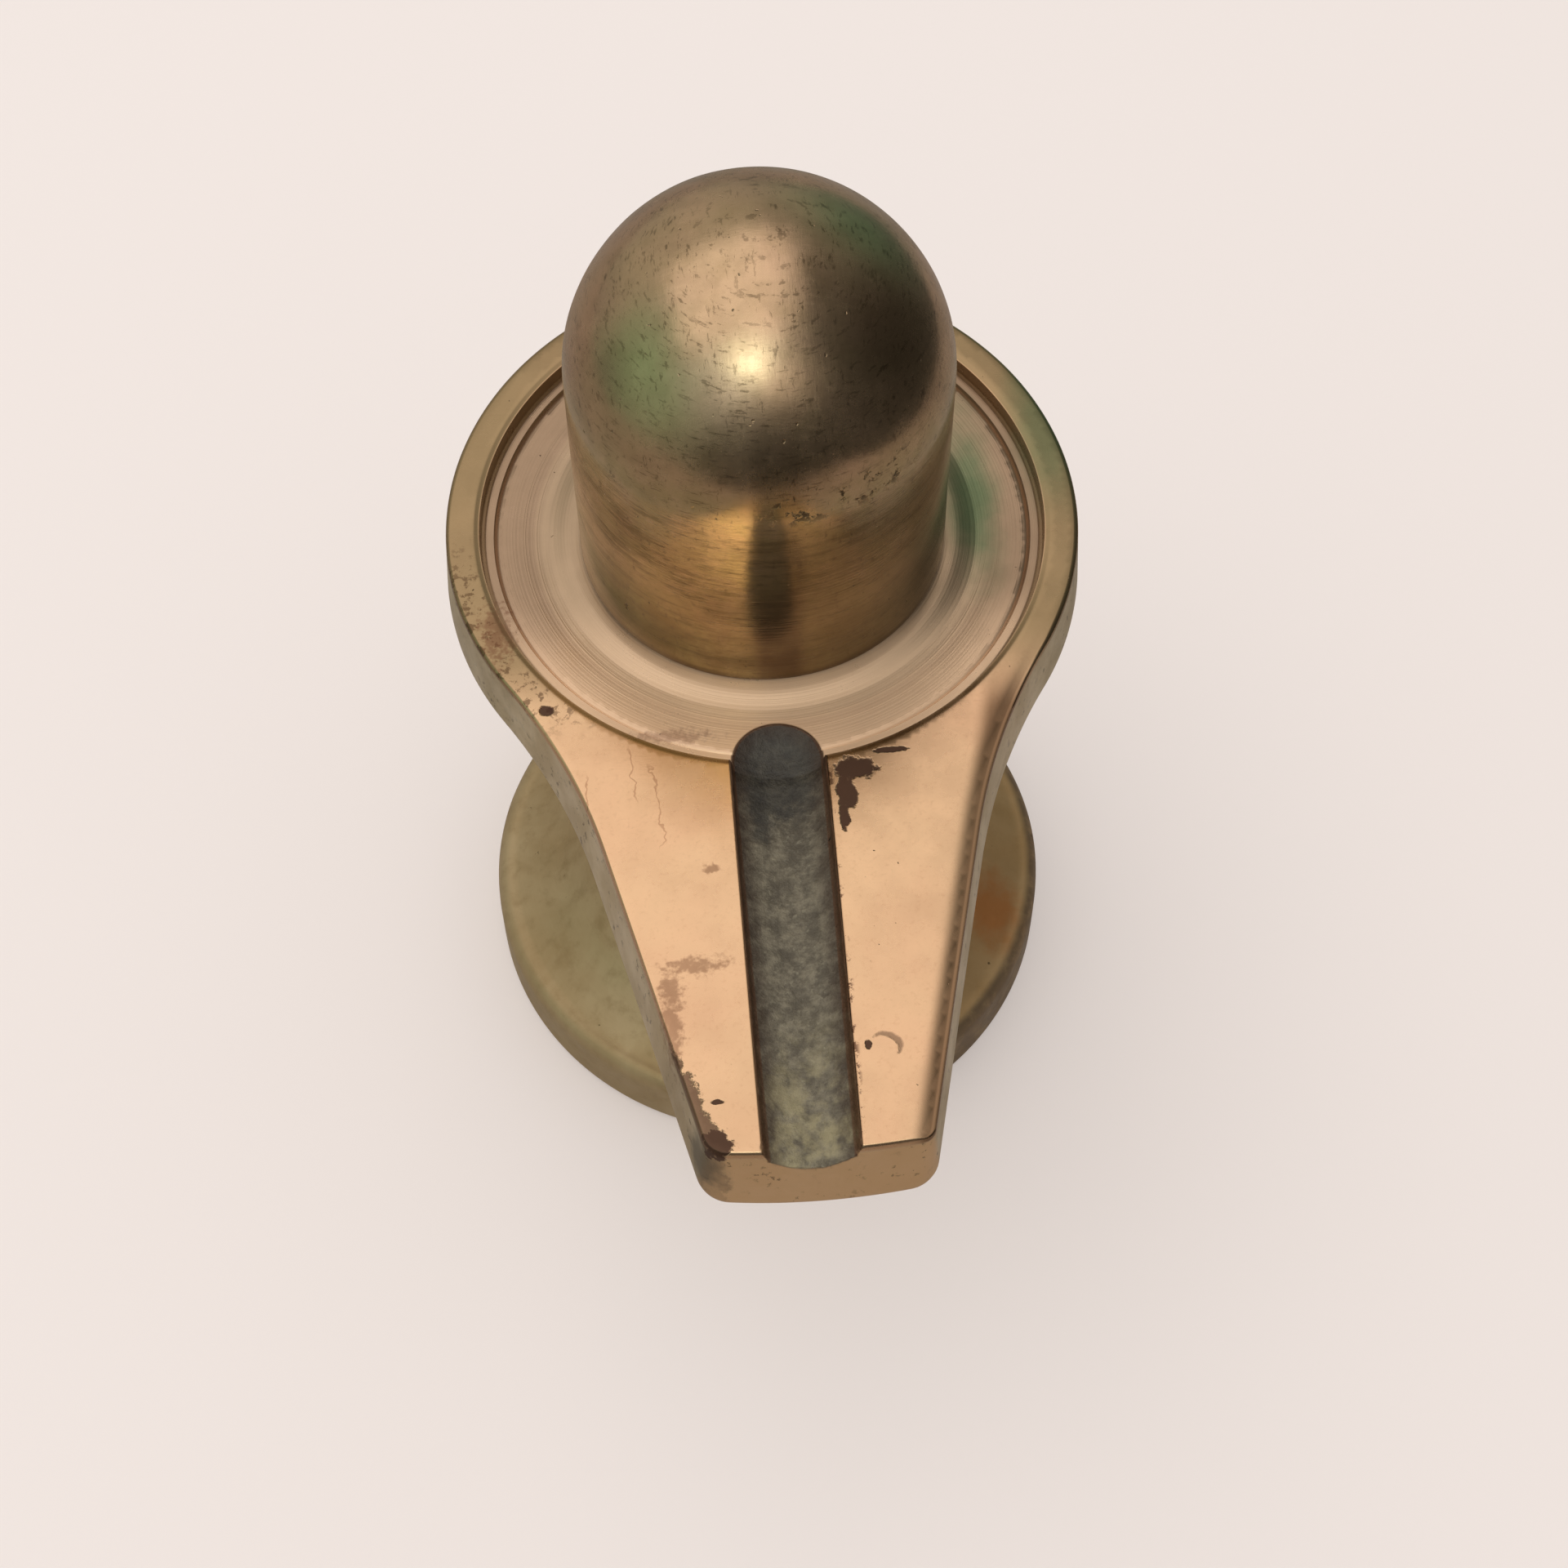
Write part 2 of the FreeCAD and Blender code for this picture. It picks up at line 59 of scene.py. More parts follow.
PLATE_TOP = dish_high[2]
PLATE_THICK = dish_high[2] - dish_low[2]
RIM_FLARE = 0.45 * MM
LEFT_FLARE = 0.8 * MM
RIGHT_FLARE = 0.5 * MM
RIM_RADIUS = dish_high[0] - RIM_FLARE
END_SLOPE = 1.45 * MM
SPOUT_REACH = -dish_low[1] - END_SLOPE
SIDE_LINE = 18.04 * MM
SIDE_STEEP = math.radians(90 - 76.2)
BLEND_RADIUS = 42.0 * MM
END_BOW = 66.0 * MM
LOW_BOW = 45.0 * MM
LEFT_CORNER = 1.7 * MM
RIGHT_CORNER = 0.9 * MM
LOW_CORNER = 2.4 * MM
LEAST_CORNER = 0.25 * MM
TOP_ROLL = 0.32 * MM
LOW_ROLL = 0.9 * MM
CHANNEL_ROUNDING = 0.12 * MM
WORN_WIDTH = 1.5 * MM
WORN_DEPTH = 0.22 * MM

BASIN_RADIUS = 19.7 * MM
BASIN_DEPTH = 1.3 * MM
LEDGE_WIDTH = 1.1 * MM
LEDGE_RISE = 0.2 * MM
COLLAR_RISE = 0.2 * MM
COLLAR_FLAT = 13.3 * MM
COLLAR_FOOT = 15.1 * MM
DISHING = 0.15 * MM
BORE_RADIUS = 6.1 * MM

# the channel, from its head to its end: (place along -Y, shift, half-width on top, half-width and depth
# of the walls' foot, radius of the floor). The half-width on top is taken CHANNEL_OVER above the face.
CHANNEL_HEAD = (19.1 * MM, -0.45 * MM, 3.3 * MM, 2.95 * MM, 1.3 * MM, 4.8 * MM)
CHANNEL_TIP = (52.0 * MM, -0.62 * MM, 3.5 * MM, 2.6 * MM, 0.65 * MM, 4.5 * MM)
CHANNEL_OVER = 1.0 * MM

PILLAR_RADIUS = pillar_high[0]
FLOOR_Z = PLATE_TOP - BASIN_DEPTH
SEAT_Z = FLOOR_Z + COLLAR_RISE
DOME_CENTRE = pillar_high[2] - PILLAR_RADIUS

# the height at which the dome starts, in millimetres, for the marks placed by it
DOME = DOME_CENTRE / MM


def smooth_step(low, high, value):
    """0 below low, 1 above high, and a smooth rise between them. Works on arrays."""
    t = np.clip((value - low) / (high - low), 0.0, 1.0)
    return t * t * (3 - 2 * t)


def soft_min(a, b, width):
    """The lower of two heights, with the corner between them rounded over about width."""
    h = np.clip(0.5 + 0.5 * (b - a) / width, 0.0, 1.0)
    return b * (1 - h) + a * h - width * h * (1 - h)


def noise_at(points, scale, seed, octaves=2):
    """Smooth noise from about -1 to 1 at each point. scale is the size of its lumps in metres."""
    shift = Vector((13.7 * seed, 5.1 * seed, 9.3 * seed))
    return np.array([noise.fractal(Vector(p) / scale + shift, 1.0, 2.0, octaves) for p in points])


# ---------------------------------------------------------------- mesh helpers


def put_in_scene(name, data):
    """A new object of the data, linked to the scene."""
    piece = bpy.data.objects.new(name, data)
    bpy.context.scene.collection.objects.link(piece)
    return piece


def ring_points(radius, angles, z):
    """Points at the angles on a circle about the axis."""
    return [(radius * math.cos(angle), radius * math.sin(angle), z) for angle in angles]


def around(count):
    """Evenly spaced angles of a whole turn."""
    return [2 * math.pi * k / count for k in range(count)]


def next_pairs(count):
    """Each number below count with the one after it, and the last with the first."""
    return [(k, (k + 1) % count) for k in range(count)]


def finish_mesh(name, points, faces, sharp_deg=40):
    """Makes an object of the points and faces, smooth apart from its sharp edges."""
    mesh = bpy.data.meshes.new(name)
    mesh.from_pydata([tuple(p) for p in points], [], faces)
    bm = bmesh.new()
    bm.from_mesh(mesh)
    bmesh.ops.remove_doubles(bm, verts=bm.verts, dist=1e-7)
    bmesh.ops.recalc_face_normals(bm, faces=bm.faces)
    limit = math.radians(sharp_deg)
    for face in bm.faces:
        face.smooth = True
    for edge in bm.edges:
        edge.smooth = edge.calc_face_angle(0.0) < limit
    bm.to_mesh(mesh)
    bm.free()
    return put_in_scene(name, mesh)


def rounded_path(corners, step):
    """A polyline of (radius, height) points about step apart. Each corner is (radius, height, rounding)."""
    arc_steps = 6
    points = []
    for index, (r, z, rounding) in enumerate(corners):
        here = Vector((r, z))
        if rounding <= 0 or index in (0, len(corners) - 1):
            points.append(here)
            continue
        before = Vector(corners[index - 1][:2])
        after = Vector(corners[index + 1][:2])
        a = (before - here).normalized()
        b = (after - here).normalized()
        half = a.angle(b) / 2
        back = rounding / math.tan(half)
        centre = here + (a + b).normalized() * (rounding / math.sin(half))
        first = here + a * back - centre
        last = here + b * back - centre
        turn = first.angle_signed(last)
        for k in range(arc_steps + 1):
            points.append(centre + Matrix.Rotation(-turn * k / arc_steps, 2) @ first)
    path = [points[0]]
    for point in points[1:]:
        run = (point - path[-1]).length
        count = max(1, int(run / step))
        start = path[-1]
        path += [start.lerp(point, (k + 1) / count) for k in range(count)]
    return [(p.x, p.y) for p in path]


def lathe(name, profile, segments, sharp_deg=40, warp=None):
    """A turned piece from a list of (radius, height), which starts and ends on the axis or closes on itself.

    warp is a function of the points that returns how far each moves along its normal.
    """
    closed = profile[0][0] > 1e-9
    rows = []
    points = []
    for r, z in profile:
        if r < 1e-9:
            rows.append([len(points)] * segments)
            points.append((0.0, 0.0, z))
            continue
        rows.append(list(range(len(points), len(points) + segments)))
        points += ring_points(r, around(segments), z)
    pairs = list(zip(rows, rows[1:] + rows[:1])) if closed else list(zip(rows, rows[1:]))
    faces = []
    for low, high in pairs:
        for k, n in next_pairs(segments):
            corner = [low[k], low[n], high[n], high[k]]
            face = [c for j, c in enumerate(corner) if c != corner[j - 1]]
            if len(face) > 2:
                faces.append(face)
    piece = finish_mesh(name, points, faces, sharp_deg)
    if warp is not None:
        push_along_normals(piece, warp)
    return piece


def push_along_normals(piece, warp):
    """Moves each point of a piece along its normal by warp(points) metres."""
    mesh = piece.data
    count = len(mesh.vertices)
    points = np.empty(count * 3)
    normals = np.empty(count * 3)
    mesh.vertices.foreach_get("co", points)
    mesh.vertices.foreach_get("normal", normals)
    points = points.reshape(-1, 3)
    normals = normals.reshape(-1, 3)
    points = points + normals * warp(points)[:, None]
    mesh.vertices.foreach_set("co", points.ravel())
    mesh.update()


# ---------------------------------------------------------------- shader helpers


class Shader:
    """A material's node tree, with short ways to add and join nodes. Coordinates are in millimetres."""

    def __init__(self, name):
        self.material = bpy.data.materials.new(name)
        self.material.use_nodes = True
        self.tree = self.material.node_tree
        self.tree.nodes.clear()
        self.output = self.add("ShaderNodeOutputMaterial")
        self.surface = self.add("ShaderNodeBsdfPrincipled")
        self.tree.links.new(self.surface.outputs[0], self.output.inputs["Surface"])
        coords = self.add("ShaderNodeTexCoord")
        scale = self.vector_math("SCALE", coords.outputs["Object"])
        scale.inputs["Scale"].default_value = 1 / MM
        self.place = scale.outputs[0]
        split = self.add("ShaderNodeSeparateXYZ")
        self.feed(split.inputs[0], self.place)
        self.x, self.y, self.z = split.outputs

    def add(self, kind, **settings):
        node = self.tree.nodes.new(kind)
        for key, value in settings.items():
            setattr(node, key, value)
        return node

    def feed(self, socket, value):
        """Joins a socket to another node's output, or sets it to a plain value."""
        if isinstance(value, bpy.types.NodeSocket):
            self.tree.links.new(value, socket)
        else:
            socket.default_value = value

    def set(self, name, value):
        """Sets one of the surface's inputs."""
        self.feed(self.surface.inputs[name], value)

    def finish(self, color, metal, rough, normal):
        """Joins the four things that make a metal's look, and returns the material."""
        self.set("Base Color", color)
        self.set("Metallic", metal)
        self.set("Roughness", rough)
        self.set("Normal", normal)
        return self.material

    def math(self, operation, a, b=0.0, c=0.0, clamp=False):
        node = self.add("ShaderNodeMath", operation=operation, use_clamp=clamp)
        for socket, value in zip(node.inputs, (a, b, c)):
            self.feed(socket, value)
        return node.outputs[0]

    def plus(self, a, b):
        return self.math("ADD", a, b)

    def less(self, a, b):
        """a less b."""
        return self.math("SUBTRACT", a, b)

    def size(self, value):
        """The value without its sign."""
        return self.math("ABSOLUTE", value)

    def linear(self, value, slope, start):
        """value * slope + start."""
        return self.math("MULTIPLY_ADD", value, slope, start)

    def times(self, *masks):
        """The product of several masks."""
        total = masks[0]
        for mask in masks[1:]:
            total = self.math("MULTIPLY", total, mask)
        return total

    def most(self, *masks):
        """The largest of several masks at each point."""
        total = masks[0]
        for mask in masks[1:]:
            total = self.math("MAXIMUM", total, mask)
        return total

    def vector_math(self, operation, *vectors):
        node = self.add("ShaderNodeVectorMath", operation=operation)
        for socket, value in zip(node.inputs, vectors):
            self.feed(socket, value)
        return node

    def vector(self, x, y=0.0, z=0.0):
        node = self.add("ShaderNodeCombineXYZ")
        for socket, value in zip(node.inputs, (x, y, z)):
            self.feed(socket, value)
        return node.outputs[0]

    def stretch(self, by, shift=(0, 0, 0)):
        """The coordinates, scaled on each axis and then shifted."""
        node = self.add("ShaderNodeMapping")
        self.feed(node.inputs["Vector"], self.place)
        node.inputs["Scale"].default_value = by
        node.inputs["Location"].default_value = shift
        return node.outputs[0]

    def noise(self, size, detail=3.0, rough=0.5, vector=None, shift=0.0, warp=0.0):
        """Noise from 0 to 1, with lumps about size millimetres across."""
        node = self.add("ShaderNodeTexNoise")
        source = vector
        if source is None:
            source = self.stretch((1, 1, 1), (shift, shift * 0.7, shift * 1.3))
        self.feed(node.inputs["Vector"], source)
        node.inputs["Scale"].default_value = 1.0 / size
        node.inputs["Detail"].default_value = detail
        node.inputs["Roughness"].default_value = rough
        node.inputs["Distortion"].default_value = warp
        return node.outputs["Fac"]

    def ramp(self, value, low, high, first=0.0, last=1.0):
        """Maps low..high to first..last, with a smooth start and end."""
        node = self.add("ShaderNodeMapRange", interpolation_type="SMOOTHSTEP")
        for socket, number in zip(node.inputs, (value, low, high, first, last)):
            self.feed(socket, number)
        return node.outputs[0]

    def mix(self, factor, a, b, kind="RGBA"):
        """Goes from a to b with the factor. kind is FLOAT for masks."""
        node = self.add("ShaderNodeMix", data_type=kind)
        for name, value in (("Factor", factor), ("A", a), ("B", b)):
            self.feed(node.inputs[name], value)
        return node.outputs["Result"]

    def film(self, color, mask, share, tone):
        """A colour covered by a film of another tone, up to a share, where the mask says."""
        return self.mix(self.times(mask, share), color, rgb(*tone))

    def radius(self):
        """Distance from the pillar's axis, in millimetres."""
        return self.math("SQRT", self.plus(self.times(self.x, self.x), self.times(self.y, self.y)))

    def blot(self, centre, size, ragged=0.5, grain=1.2, shift=0.0, edge=0.25):
        """A ragged spot about a point, 1 inside and 0 outside. size holds its half-widths in millimetres."""
        by = tuple(1 / s for s in size)
        moved = self.stretch(by, tuple(-c * b for c, b in zip(centre, by)))
        length = self.vector_math("LENGTH", moved)
        wobble = self.linear(self.noise(grain, 4.0, 0.6, shift=shift), 2 * ragged, -ragged)
        reach = self.plus(length.outputs["Value"], wobble)
        return self.ramp(reach, 1.0 + edge, 1.0 - edge)

    def bump(self, height, distance, strength=1.0, under=None):
        node = self.add("ShaderNodeBump")
        node.inputs["Strength"].default_value = strength
        node.inputs["Distance"].default_value = distance * MM
        self.feed(node.inputs["Height"], height)
        if under is not None:
            self.feed(node.inputs["Normal"], under)
        return node.outputs["Normal"]


def rgb(red, green_reflections, blue):
    """An 8-bit screen colour as a linear one."""
    def linear(v):
        v /= 255
        return v / 12.92 if v <= 0.04045 else ((v + 0.055) / 1.055) ** 2.4
    return (linear(red), linear(green_reflections), linear(blue), 1.0)


# ---------------------------------------------------------------- materials


def pillar_material():
    """Polished brass with an olive patina, brown and pitted where the dome begins, with painted reflections
    on the dome: green to the left and back, dark to the right.
    """
    s = Shader("pillar_brass_finish")
    broad = s.noise(9.0, 3.0, 0.55, warp=0.6)
    fine = s.noise(2.2, 4.0, 0.6, shift=11.0)
    color = s.mix(s.ramp(broad, 0.35, 0.68), rgb(214, 182, 144), rgb(222, 184, 150))
    color = s.mix(s.ramp(fine, 0.45, 0.8, 0.0, 0.35), color, rgb(176, 150, 108))
    # an olive patina film over the cylinder; the same olive is painted on the start of the dome and on its
    # back as a painted reflection of dim surroundings
    olive = s.ramp(s.z, DOME + 4.5, DOME + 1.0, 0.0, 0.6)
    back = s.times(s.ramp(s.y, 5.0, 10.0), s.ramp(s.z, DOME + 1.0, DOME + 4.0, 0.0, 0.9))
    mottle = s.ramp(s.noise(1.8, 5.0, 0.65, shift=3.0), 0.3, 0.65, 0.55, 1.0)
    color = s.mix(s.times(s.most(olive, back), mottle), color, rgb(156, 146, 92))
    # painted green reflections on the dome's left and back; thin films of patina low on the cylinder and on
    # its front
    left_green_reflection = s.blot((-8.2, -6.2, 80.0), (3.6, 3.6, 4.6), 0.35, 3.0, 2.0, 0.8)
    back_green_reflection = s.blot((7.2, 2.6, 81.5), (3.2, 3.6, 3.2), 0.35, 3.0, 5.0, 0.8)
    green_reflections = s.most(left_green_reflection, back_green_reflection)
    low_green = s.blot((-9.0, -9.0, 57.5), (5.0, 4.5, 4.0), 0.4, 3.0, 8.0, 0.8)
    color = s.film(color, green_reflections, 0.4, (120, 150, 104))
    color = s.film(color, low_green, 0.65, (126, 128, 74))
    # painted reflection: a dark brown patch on the dome's right
    brown = s.blot((8.2, -4.6, 80.0), (3.4, 3.4, 3.6), 0.45, 2.4, 14.0, 0.8)
    color = s.film(color, brown, 0.6, (92, 72, 52))
    amber = s.blot((-3.2, -12.4, 64.0), (7.0, 4.0, 9.0), 0.4, 4.0, 17.0, 0.8)
    color = s.film(color, amber, 0.25, (178, 134, 72))
    # old polish and tarnish low down at the front
    mottle = s.ramp(s.noise(2.6, 5.0, 0.65, shift=19.0), 0.3, 0.6, 0.55, 1.0)
    low = s.times(s.ramp(s.z, 66.0, 58.0, 0.0, 0.7), s.ramp(s.y, -2.0, -8.0), mottle)
    color = s.mix(low, color, rgb(112, 82, 46))
    smears = s.noise(1.0, 5.0, 0.7, vector=s.stretch((0.25, 0.25, 1.6), (6.0, 2.0, 0.0)))
    smears = s.times(s.ramp(smears, 0.48, 0.62, 0.0, 0.5), s.ramp(s.z, DOME + 1.0, DOME - 2.0))
    color = s.mix(smears, color, rgb(104, 86, 52))
    # painted shade: the cylinder darker toward its right side
    dim = s.times(s.ramp(s.x, -6.0, 3.0, 0.0, 0.6), s.ramp(s.z, DOME + 1.0, DOME - 3.0))
    color = s.mix(dim, color, rgb(112, 94, 62))
    # painted reflection of the channel: darkest along a line down the cylinder's front
    line = s.ramp(s.size(s.less(s.x, 0.2)), 2.2, 0.9)
    line = s.times(line, s.ramp(s.y, -8.0, -11.0), s.ramp(s.z, 68.0, 60.0, 0.3, 0.75))
    color = s.mix(line, color, rgb(84, 58, 36))
    # pits and specks where the cylinder turns into the dome
    band = s.ramp(s.size(s.less(s.z, DOME + 1.6)), 1.9, 0.4)
    front_right = s.times(s.ramp(s.x, -1.5, 1.0), s.ramp(s.x, 10.0, 7.0))
    pits = s.times(s.ramp(s.noise(1.1, 5.0, 0.7, shift=23.0), 0.55, 0.6), band, front_right)
    specks = s.ramp(s.noise(0.7, 2.0, 0.5, shift=31.0), 0.735, 0.78)
    marks = s.most(pits, s.times(specks, 0.7))
    color = s.film(color, marks, 0.85, (58, 44, 30))
    foot = s.ramp(s.z, SEAT_Z / MM + 0.9, SEAT_Z / MM, 0.0, 0.8)
    color = s.mix(foot, color, rgb(70, 50, 26))

    # scratches and darker patches in the film on the dome
    slant = s.noise(1.0, 4.0, 0.7, vector=s.stretch((0.9, 0.9, 5.5), (2.0, 5.0, 0.0)))
    steep = s.noise(1.0, 4.0, 0.7, vector=s.stretch((3.6, 0.8, 1.4), (8.0, 1.0, 3.0)))
    dark_lines = s.most(s.ramp(slant, 0.57, 0.64), s.ramp(steep, 0.59, 0.66))
    patches = s.ramp(s.noise(3.4, 5.0, 0.65, shift=27.0), 0.42, 0.62)
    color = s.film(color, patches, 0.2, (128, 108, 78))
    dark_lines = s.times(dark_lines, s.linear(patches, 0.25, 0.35))
    color = s.mix(dark_lines, color, rgb(92, 74, 50))
    # polishing scratches: crossing streaks on the dome, rings on the cylinder
    rings = s.noise(1.0, 4.0, 0.6, vector=s.stretch((0.12, 0.12, 6.0)))
    streaks = s.noise(1.0, 3.0, 0.7, vector=s.stretch((3.5, 0.5, 1.2), (4.0, 0.0, 0.0)))
    cross = s.noise(1.0, 3.0, 0.7, vector=s.stretch((0.7, 3.8, 1.0), (0.0, 9.0, 0.0)))
    on_dome = s.ramp(s.z, DOME - 0.5, DOME + 3.0)
    scratch = s.plus(s.times(streaks, 0.5), s.times(cross, 0.5))
    tooling = s.mix(on_dome, rings, scratch, "FLOAT")
    rough = s.ramp(s.noise(5.0, 4.0, 0.6, shift=40.0), 0.3, 0.75, 0.14, 0.24)
    rough = s.plus(rough, s.times(on_dome, 0.05))
    rough = s.plus(rough, s.times(marks, 0.3))
    rough = s.math("ADD", rough, s.ramp(tooling, 0.4, 0.75, 0.0, 0.08), clamp=True)
    normal = s.bump(s.noise(7.0, 2.0, 0.5, shift=51.0), 0.25, 0.35)
    normal = s.bump(tooling, 0.02, 0.6, normal)
    normal = s.bump(s.less(1.0, marks), 0.06, 0.8, normal)
    return s.finish(color, s.ramp(s.z, DOME, DOME + 4.0, 0.8, 1.0), rough, normal)


def dish_material():
    """Flat-polished brass: turned rings in the basin, stains on the spout, dark cast metal in the channel."""
    s = Shader("dish_brass_finish")
    top = PLATE_TOP / MM
    recess = BASIN_RADIUS / MM
    r = s.radius()
    broad = s.noise(11.0, 3.0, 0.5, warp=0.5)
    cloudy = s.noise(5.0, 3.0, 0.5, shift=7.0)
    peach = s.mix(s.ramp(broad, 0.35, 0.7), rgb(238, 198, 156), rgb(236, 192, 152))
    peach = s.mix(s.ramp(cloudy, 0.4, 0.8, 0.0, 0.15), peach, rgb(206, 158, 122))
    grains = s.noise(0.3, 3.0, 0.7, shift=17.0)
    peach = s.mix(s.ramp(grains, 0.5, 0.8, 0.0, 0.25), peach, rgb(196, 146, 110))

    # the turned basin: pinker and duller, with concentric rings
    by_radius = s.vector(r)
    ring_tone = s.noise(0.55, 4.0, 0.65, vector=by_radius)
    basin = s.times(s.ramp(r, recess - 0.25, recess - 0.45), s.ramp(s.z, top - 0.5, top - 0.75))
    pink = s.mix(s.ramp(ring_tone, 0.35, 0.7), rgb(204, 170, 142), rgb(226, 190, 156))
    color = s.mix(basin, peach, pink)
    # a painted highlight lies on the basin's front, which is also less metallic (a dull film), and its sides
    # and back get painted shade
    front = s.ramp(s.y, -5.0, -14.0)
    pink = s.mix(s.linear(front, -0.75, 0.75), pink, rgb(164, 138, 112))
    pink = s.film(pink, front, 0.7, (244, 206, 166))
    color = s.mix(basin, color, pink)
    inner = s.times(basin, s.ramp(r, 16.4, 15.2))
    color = s.film(color, inner, 0.3, (214, 190, 156))
    green_right = s.blot((14.9, 1.5, top - 1), (1.6, 6.0, 3.0), 0.45, 2.4, 3.0, 0.8)
    color = s.film(color, green_right, 0.75, (78, 118, 80))

    # the recess wall and its ledge hold old polish
    wall = s.ramp(s.size(s.less(r, recess - 0.12)), 0.34, 0.16)
    wall = s.times(wall, s.ramp(s.z, top - 0.06, top - 0.2))
    color = s.film(color, wall, 0.85, (116, 88, 52))

    # painted reflection: the rim is a darker olive away from the spout
    rim = s.times(s.ramp(s.y, -16.5, -10.0), s.ramp(r, recess - 0.05, recess + 0.1))
    color = s.film(color, rim, 0.8, (148, 128, 92))
    rim_pits = s.ramp(s.noise(0.8, 5.0, 0.7, shift=57.0), 0.53, 0.6)
    rim_pits = s.times(rim_pits, s.ramp(s.y, 2.0, -5.0), s.ramp(s.y, -17.5, -14.0))
    rim_pits = s.times(rim_pits, s.ramp(s.x, -10.0, -13.0), s.ramp(r, recess + 0.2, recess + 0.6))
    color = s.film(color, rim_pits, 0.7, (98, 72, 50))
    rim_green = s.blot((20.8, 7.0, top), (2.2, 6.5, 3.0), 0.4, 2.6, 9.0, 0.7)
    color = s.film(color, rim_green, 0.6, (92, 118, 84))
    sides = s.times(s.ramp(s.z, top - 0.35, top - 0.7), s.ramp(r, recess + 0.5, recess + 1.2))
    side_tone = s.ramp(s.noise(4.0, 4.0, 0.6, shift=60.0), 0.35, 0.7)
    side_tone = s.mix(side_tone, rgb(184, 168, 132), rgb(212, 198, 168))
    end_face = s.times(s.ramp(s.y, -46.6, -47.3), sides)
    side_tone = s.film(side_tone, end_face, 0.8, (216, 174, 126))
    color = s.mix(s.times(sides, 0.85), color, side_tone)
    pitted = s.ramp(s.noise(0.7, 5.0, 0.7, shift=63.0), 0.57, 0.64)
    pitted = s.times(pitted, s.ramp(s.noise(3.0, 3.0, 0.5, shift=66.0), 0.42, 0.6, 0.1, 1.0))
    grime = s.blot((-7.6, -46.8, top - 2.4), (1.5, 1.8, 2.4), 0.9, 1.2, 68.0, 0.6)
    color = s.film(color, s.times(pitted, sides), 0.7, (84, 62, 40))
    color = s.film(color, s.times(grime, sides), 0.7, (84, 84, 72))

    # distance in from the spout's two straight sides
    steep = (math.cos(SIDE_STEEP), math.sin(SIDE_STEEP))
    down = s.times(s.y, -steep[1])
    from_right = s.less(SIDE_LINE / MM, s.linear(s.x, steep[0], down))
    from_left = s.less(SIDE_LINE / MM, s.linear(s.x, -steep[0], down))
    on_spout = s.times(s.ramp(s.y, -13.0, -17.0), s.ramp(s.z, top - 0.6, top - 0.4))
    # painted shade along the spout's worn right edge, where its rolled top turns away from the light
    worn = s.times(s.ramp(from_right, 1.5, 0.25, 0.0, 0.75), on_spout)
    color = s.mix(worn, color, rgb(116, 86, 60))

    # dark stains: (x, y), half-widths, raggedness
    dark_spots = [
        ((4.6, -20.7), (1.35, 0.85), 0.9),
        ((3.9, -22.5), (0.7, 1.2), 0.9),
        ((3.5, -24.3), (0.35, 0.9), 0.9),
        ((7.0, -19.5), (1.2, 0.22), 1.0),
        ((-6.4, -46.6), (0.9, 0.9), 1.2),
        ((3.5, -40.7), (0.22, 0.28), 1.0),
        ((-6.2, -43.9), (0.35, 0.15), 1.4),
        ((-15.6, -14.6), (0.5, 0.4), 0.7),
    ]
    dark = s.most(*[
        s.blot((*place, top), (*half, 1.5), ragged, 0.7, 70.0 + index, 0.14)
        for index, (place, half, ragged) in enumerate(dark_spots)
    ])
    tatter = s.noise(1.1, 6.0, 0.75, shift=104.0)
    reach = s.ramp(s.y, -38.0, -44.5, 0.0, 0.9)
    inward = s.less(from_left, reach)
    left_band = s.less(s.linear(tatter, 3.0, -1.5), inward)
    left_band = s.times(s.ramp(left_band, 0.0, 0.3), s.ramp(s.y, -38.5, -40.5), s.ramp(from_left, 2.2, 1.6))
    left_band = s.times(left_band, s.ramp(s.z, top - 0.9, top - 0.5, 0.3, 1.0))
    dark = s.most(dark, s.times(left_band, 0.8))

    # paler brown smears
    soft_spots = [
        ((-7.0, -34.4), (1.7, 0.55), 1.1),
        ((-8.6, -36.0), (0.7, 1.1), 1.1),
        ((-8.7, -38.6), (0.6, 2.4), 1.1),
        ((-7.2, -16.6), (2.6, 0.6), 1.0),
        ((-18.6, -8.0), (1.0, 2.2), 1.3),
        ((-5.4, -27.5), (0.5, 0.3), 1.2),
    ]
    soft = s.most(*[
        s.blot((*place, top), (*half, 2.0), ragged * 1.5, 0.45, 90.0 + index, 0.5)
        for index, (place, half, ragged) in enumerate(soft_spots)
    ])
    color = s.film(color, soft, 0.5, (134, 86, 64))
    crescent = s.blot((4.6, -40.9, top), (1.05, 0.95, 1.0), 0.25, 0.8, 99.0, 0.1)
    crescent_hole = s.blot((4.35, -41.2, top), (1.05, 1.0, 1.0), 0.25, 0.8, 99.5, 0.1)
    crescent = s.math("SUBTRACT", crescent, crescent_hole, clamp=True)
    dark = s.most(dark, s.times(crescent, 0.55))
    specks = s.ramp(s.noise(0.5, 2.0, 0.5, shift=33.0), 0.76, 0.8)
    dark = s.most(dark, s.times(specks, 0.75))
    bend = s.noise(2.2, 3.0, 0.6, shift=44.0)
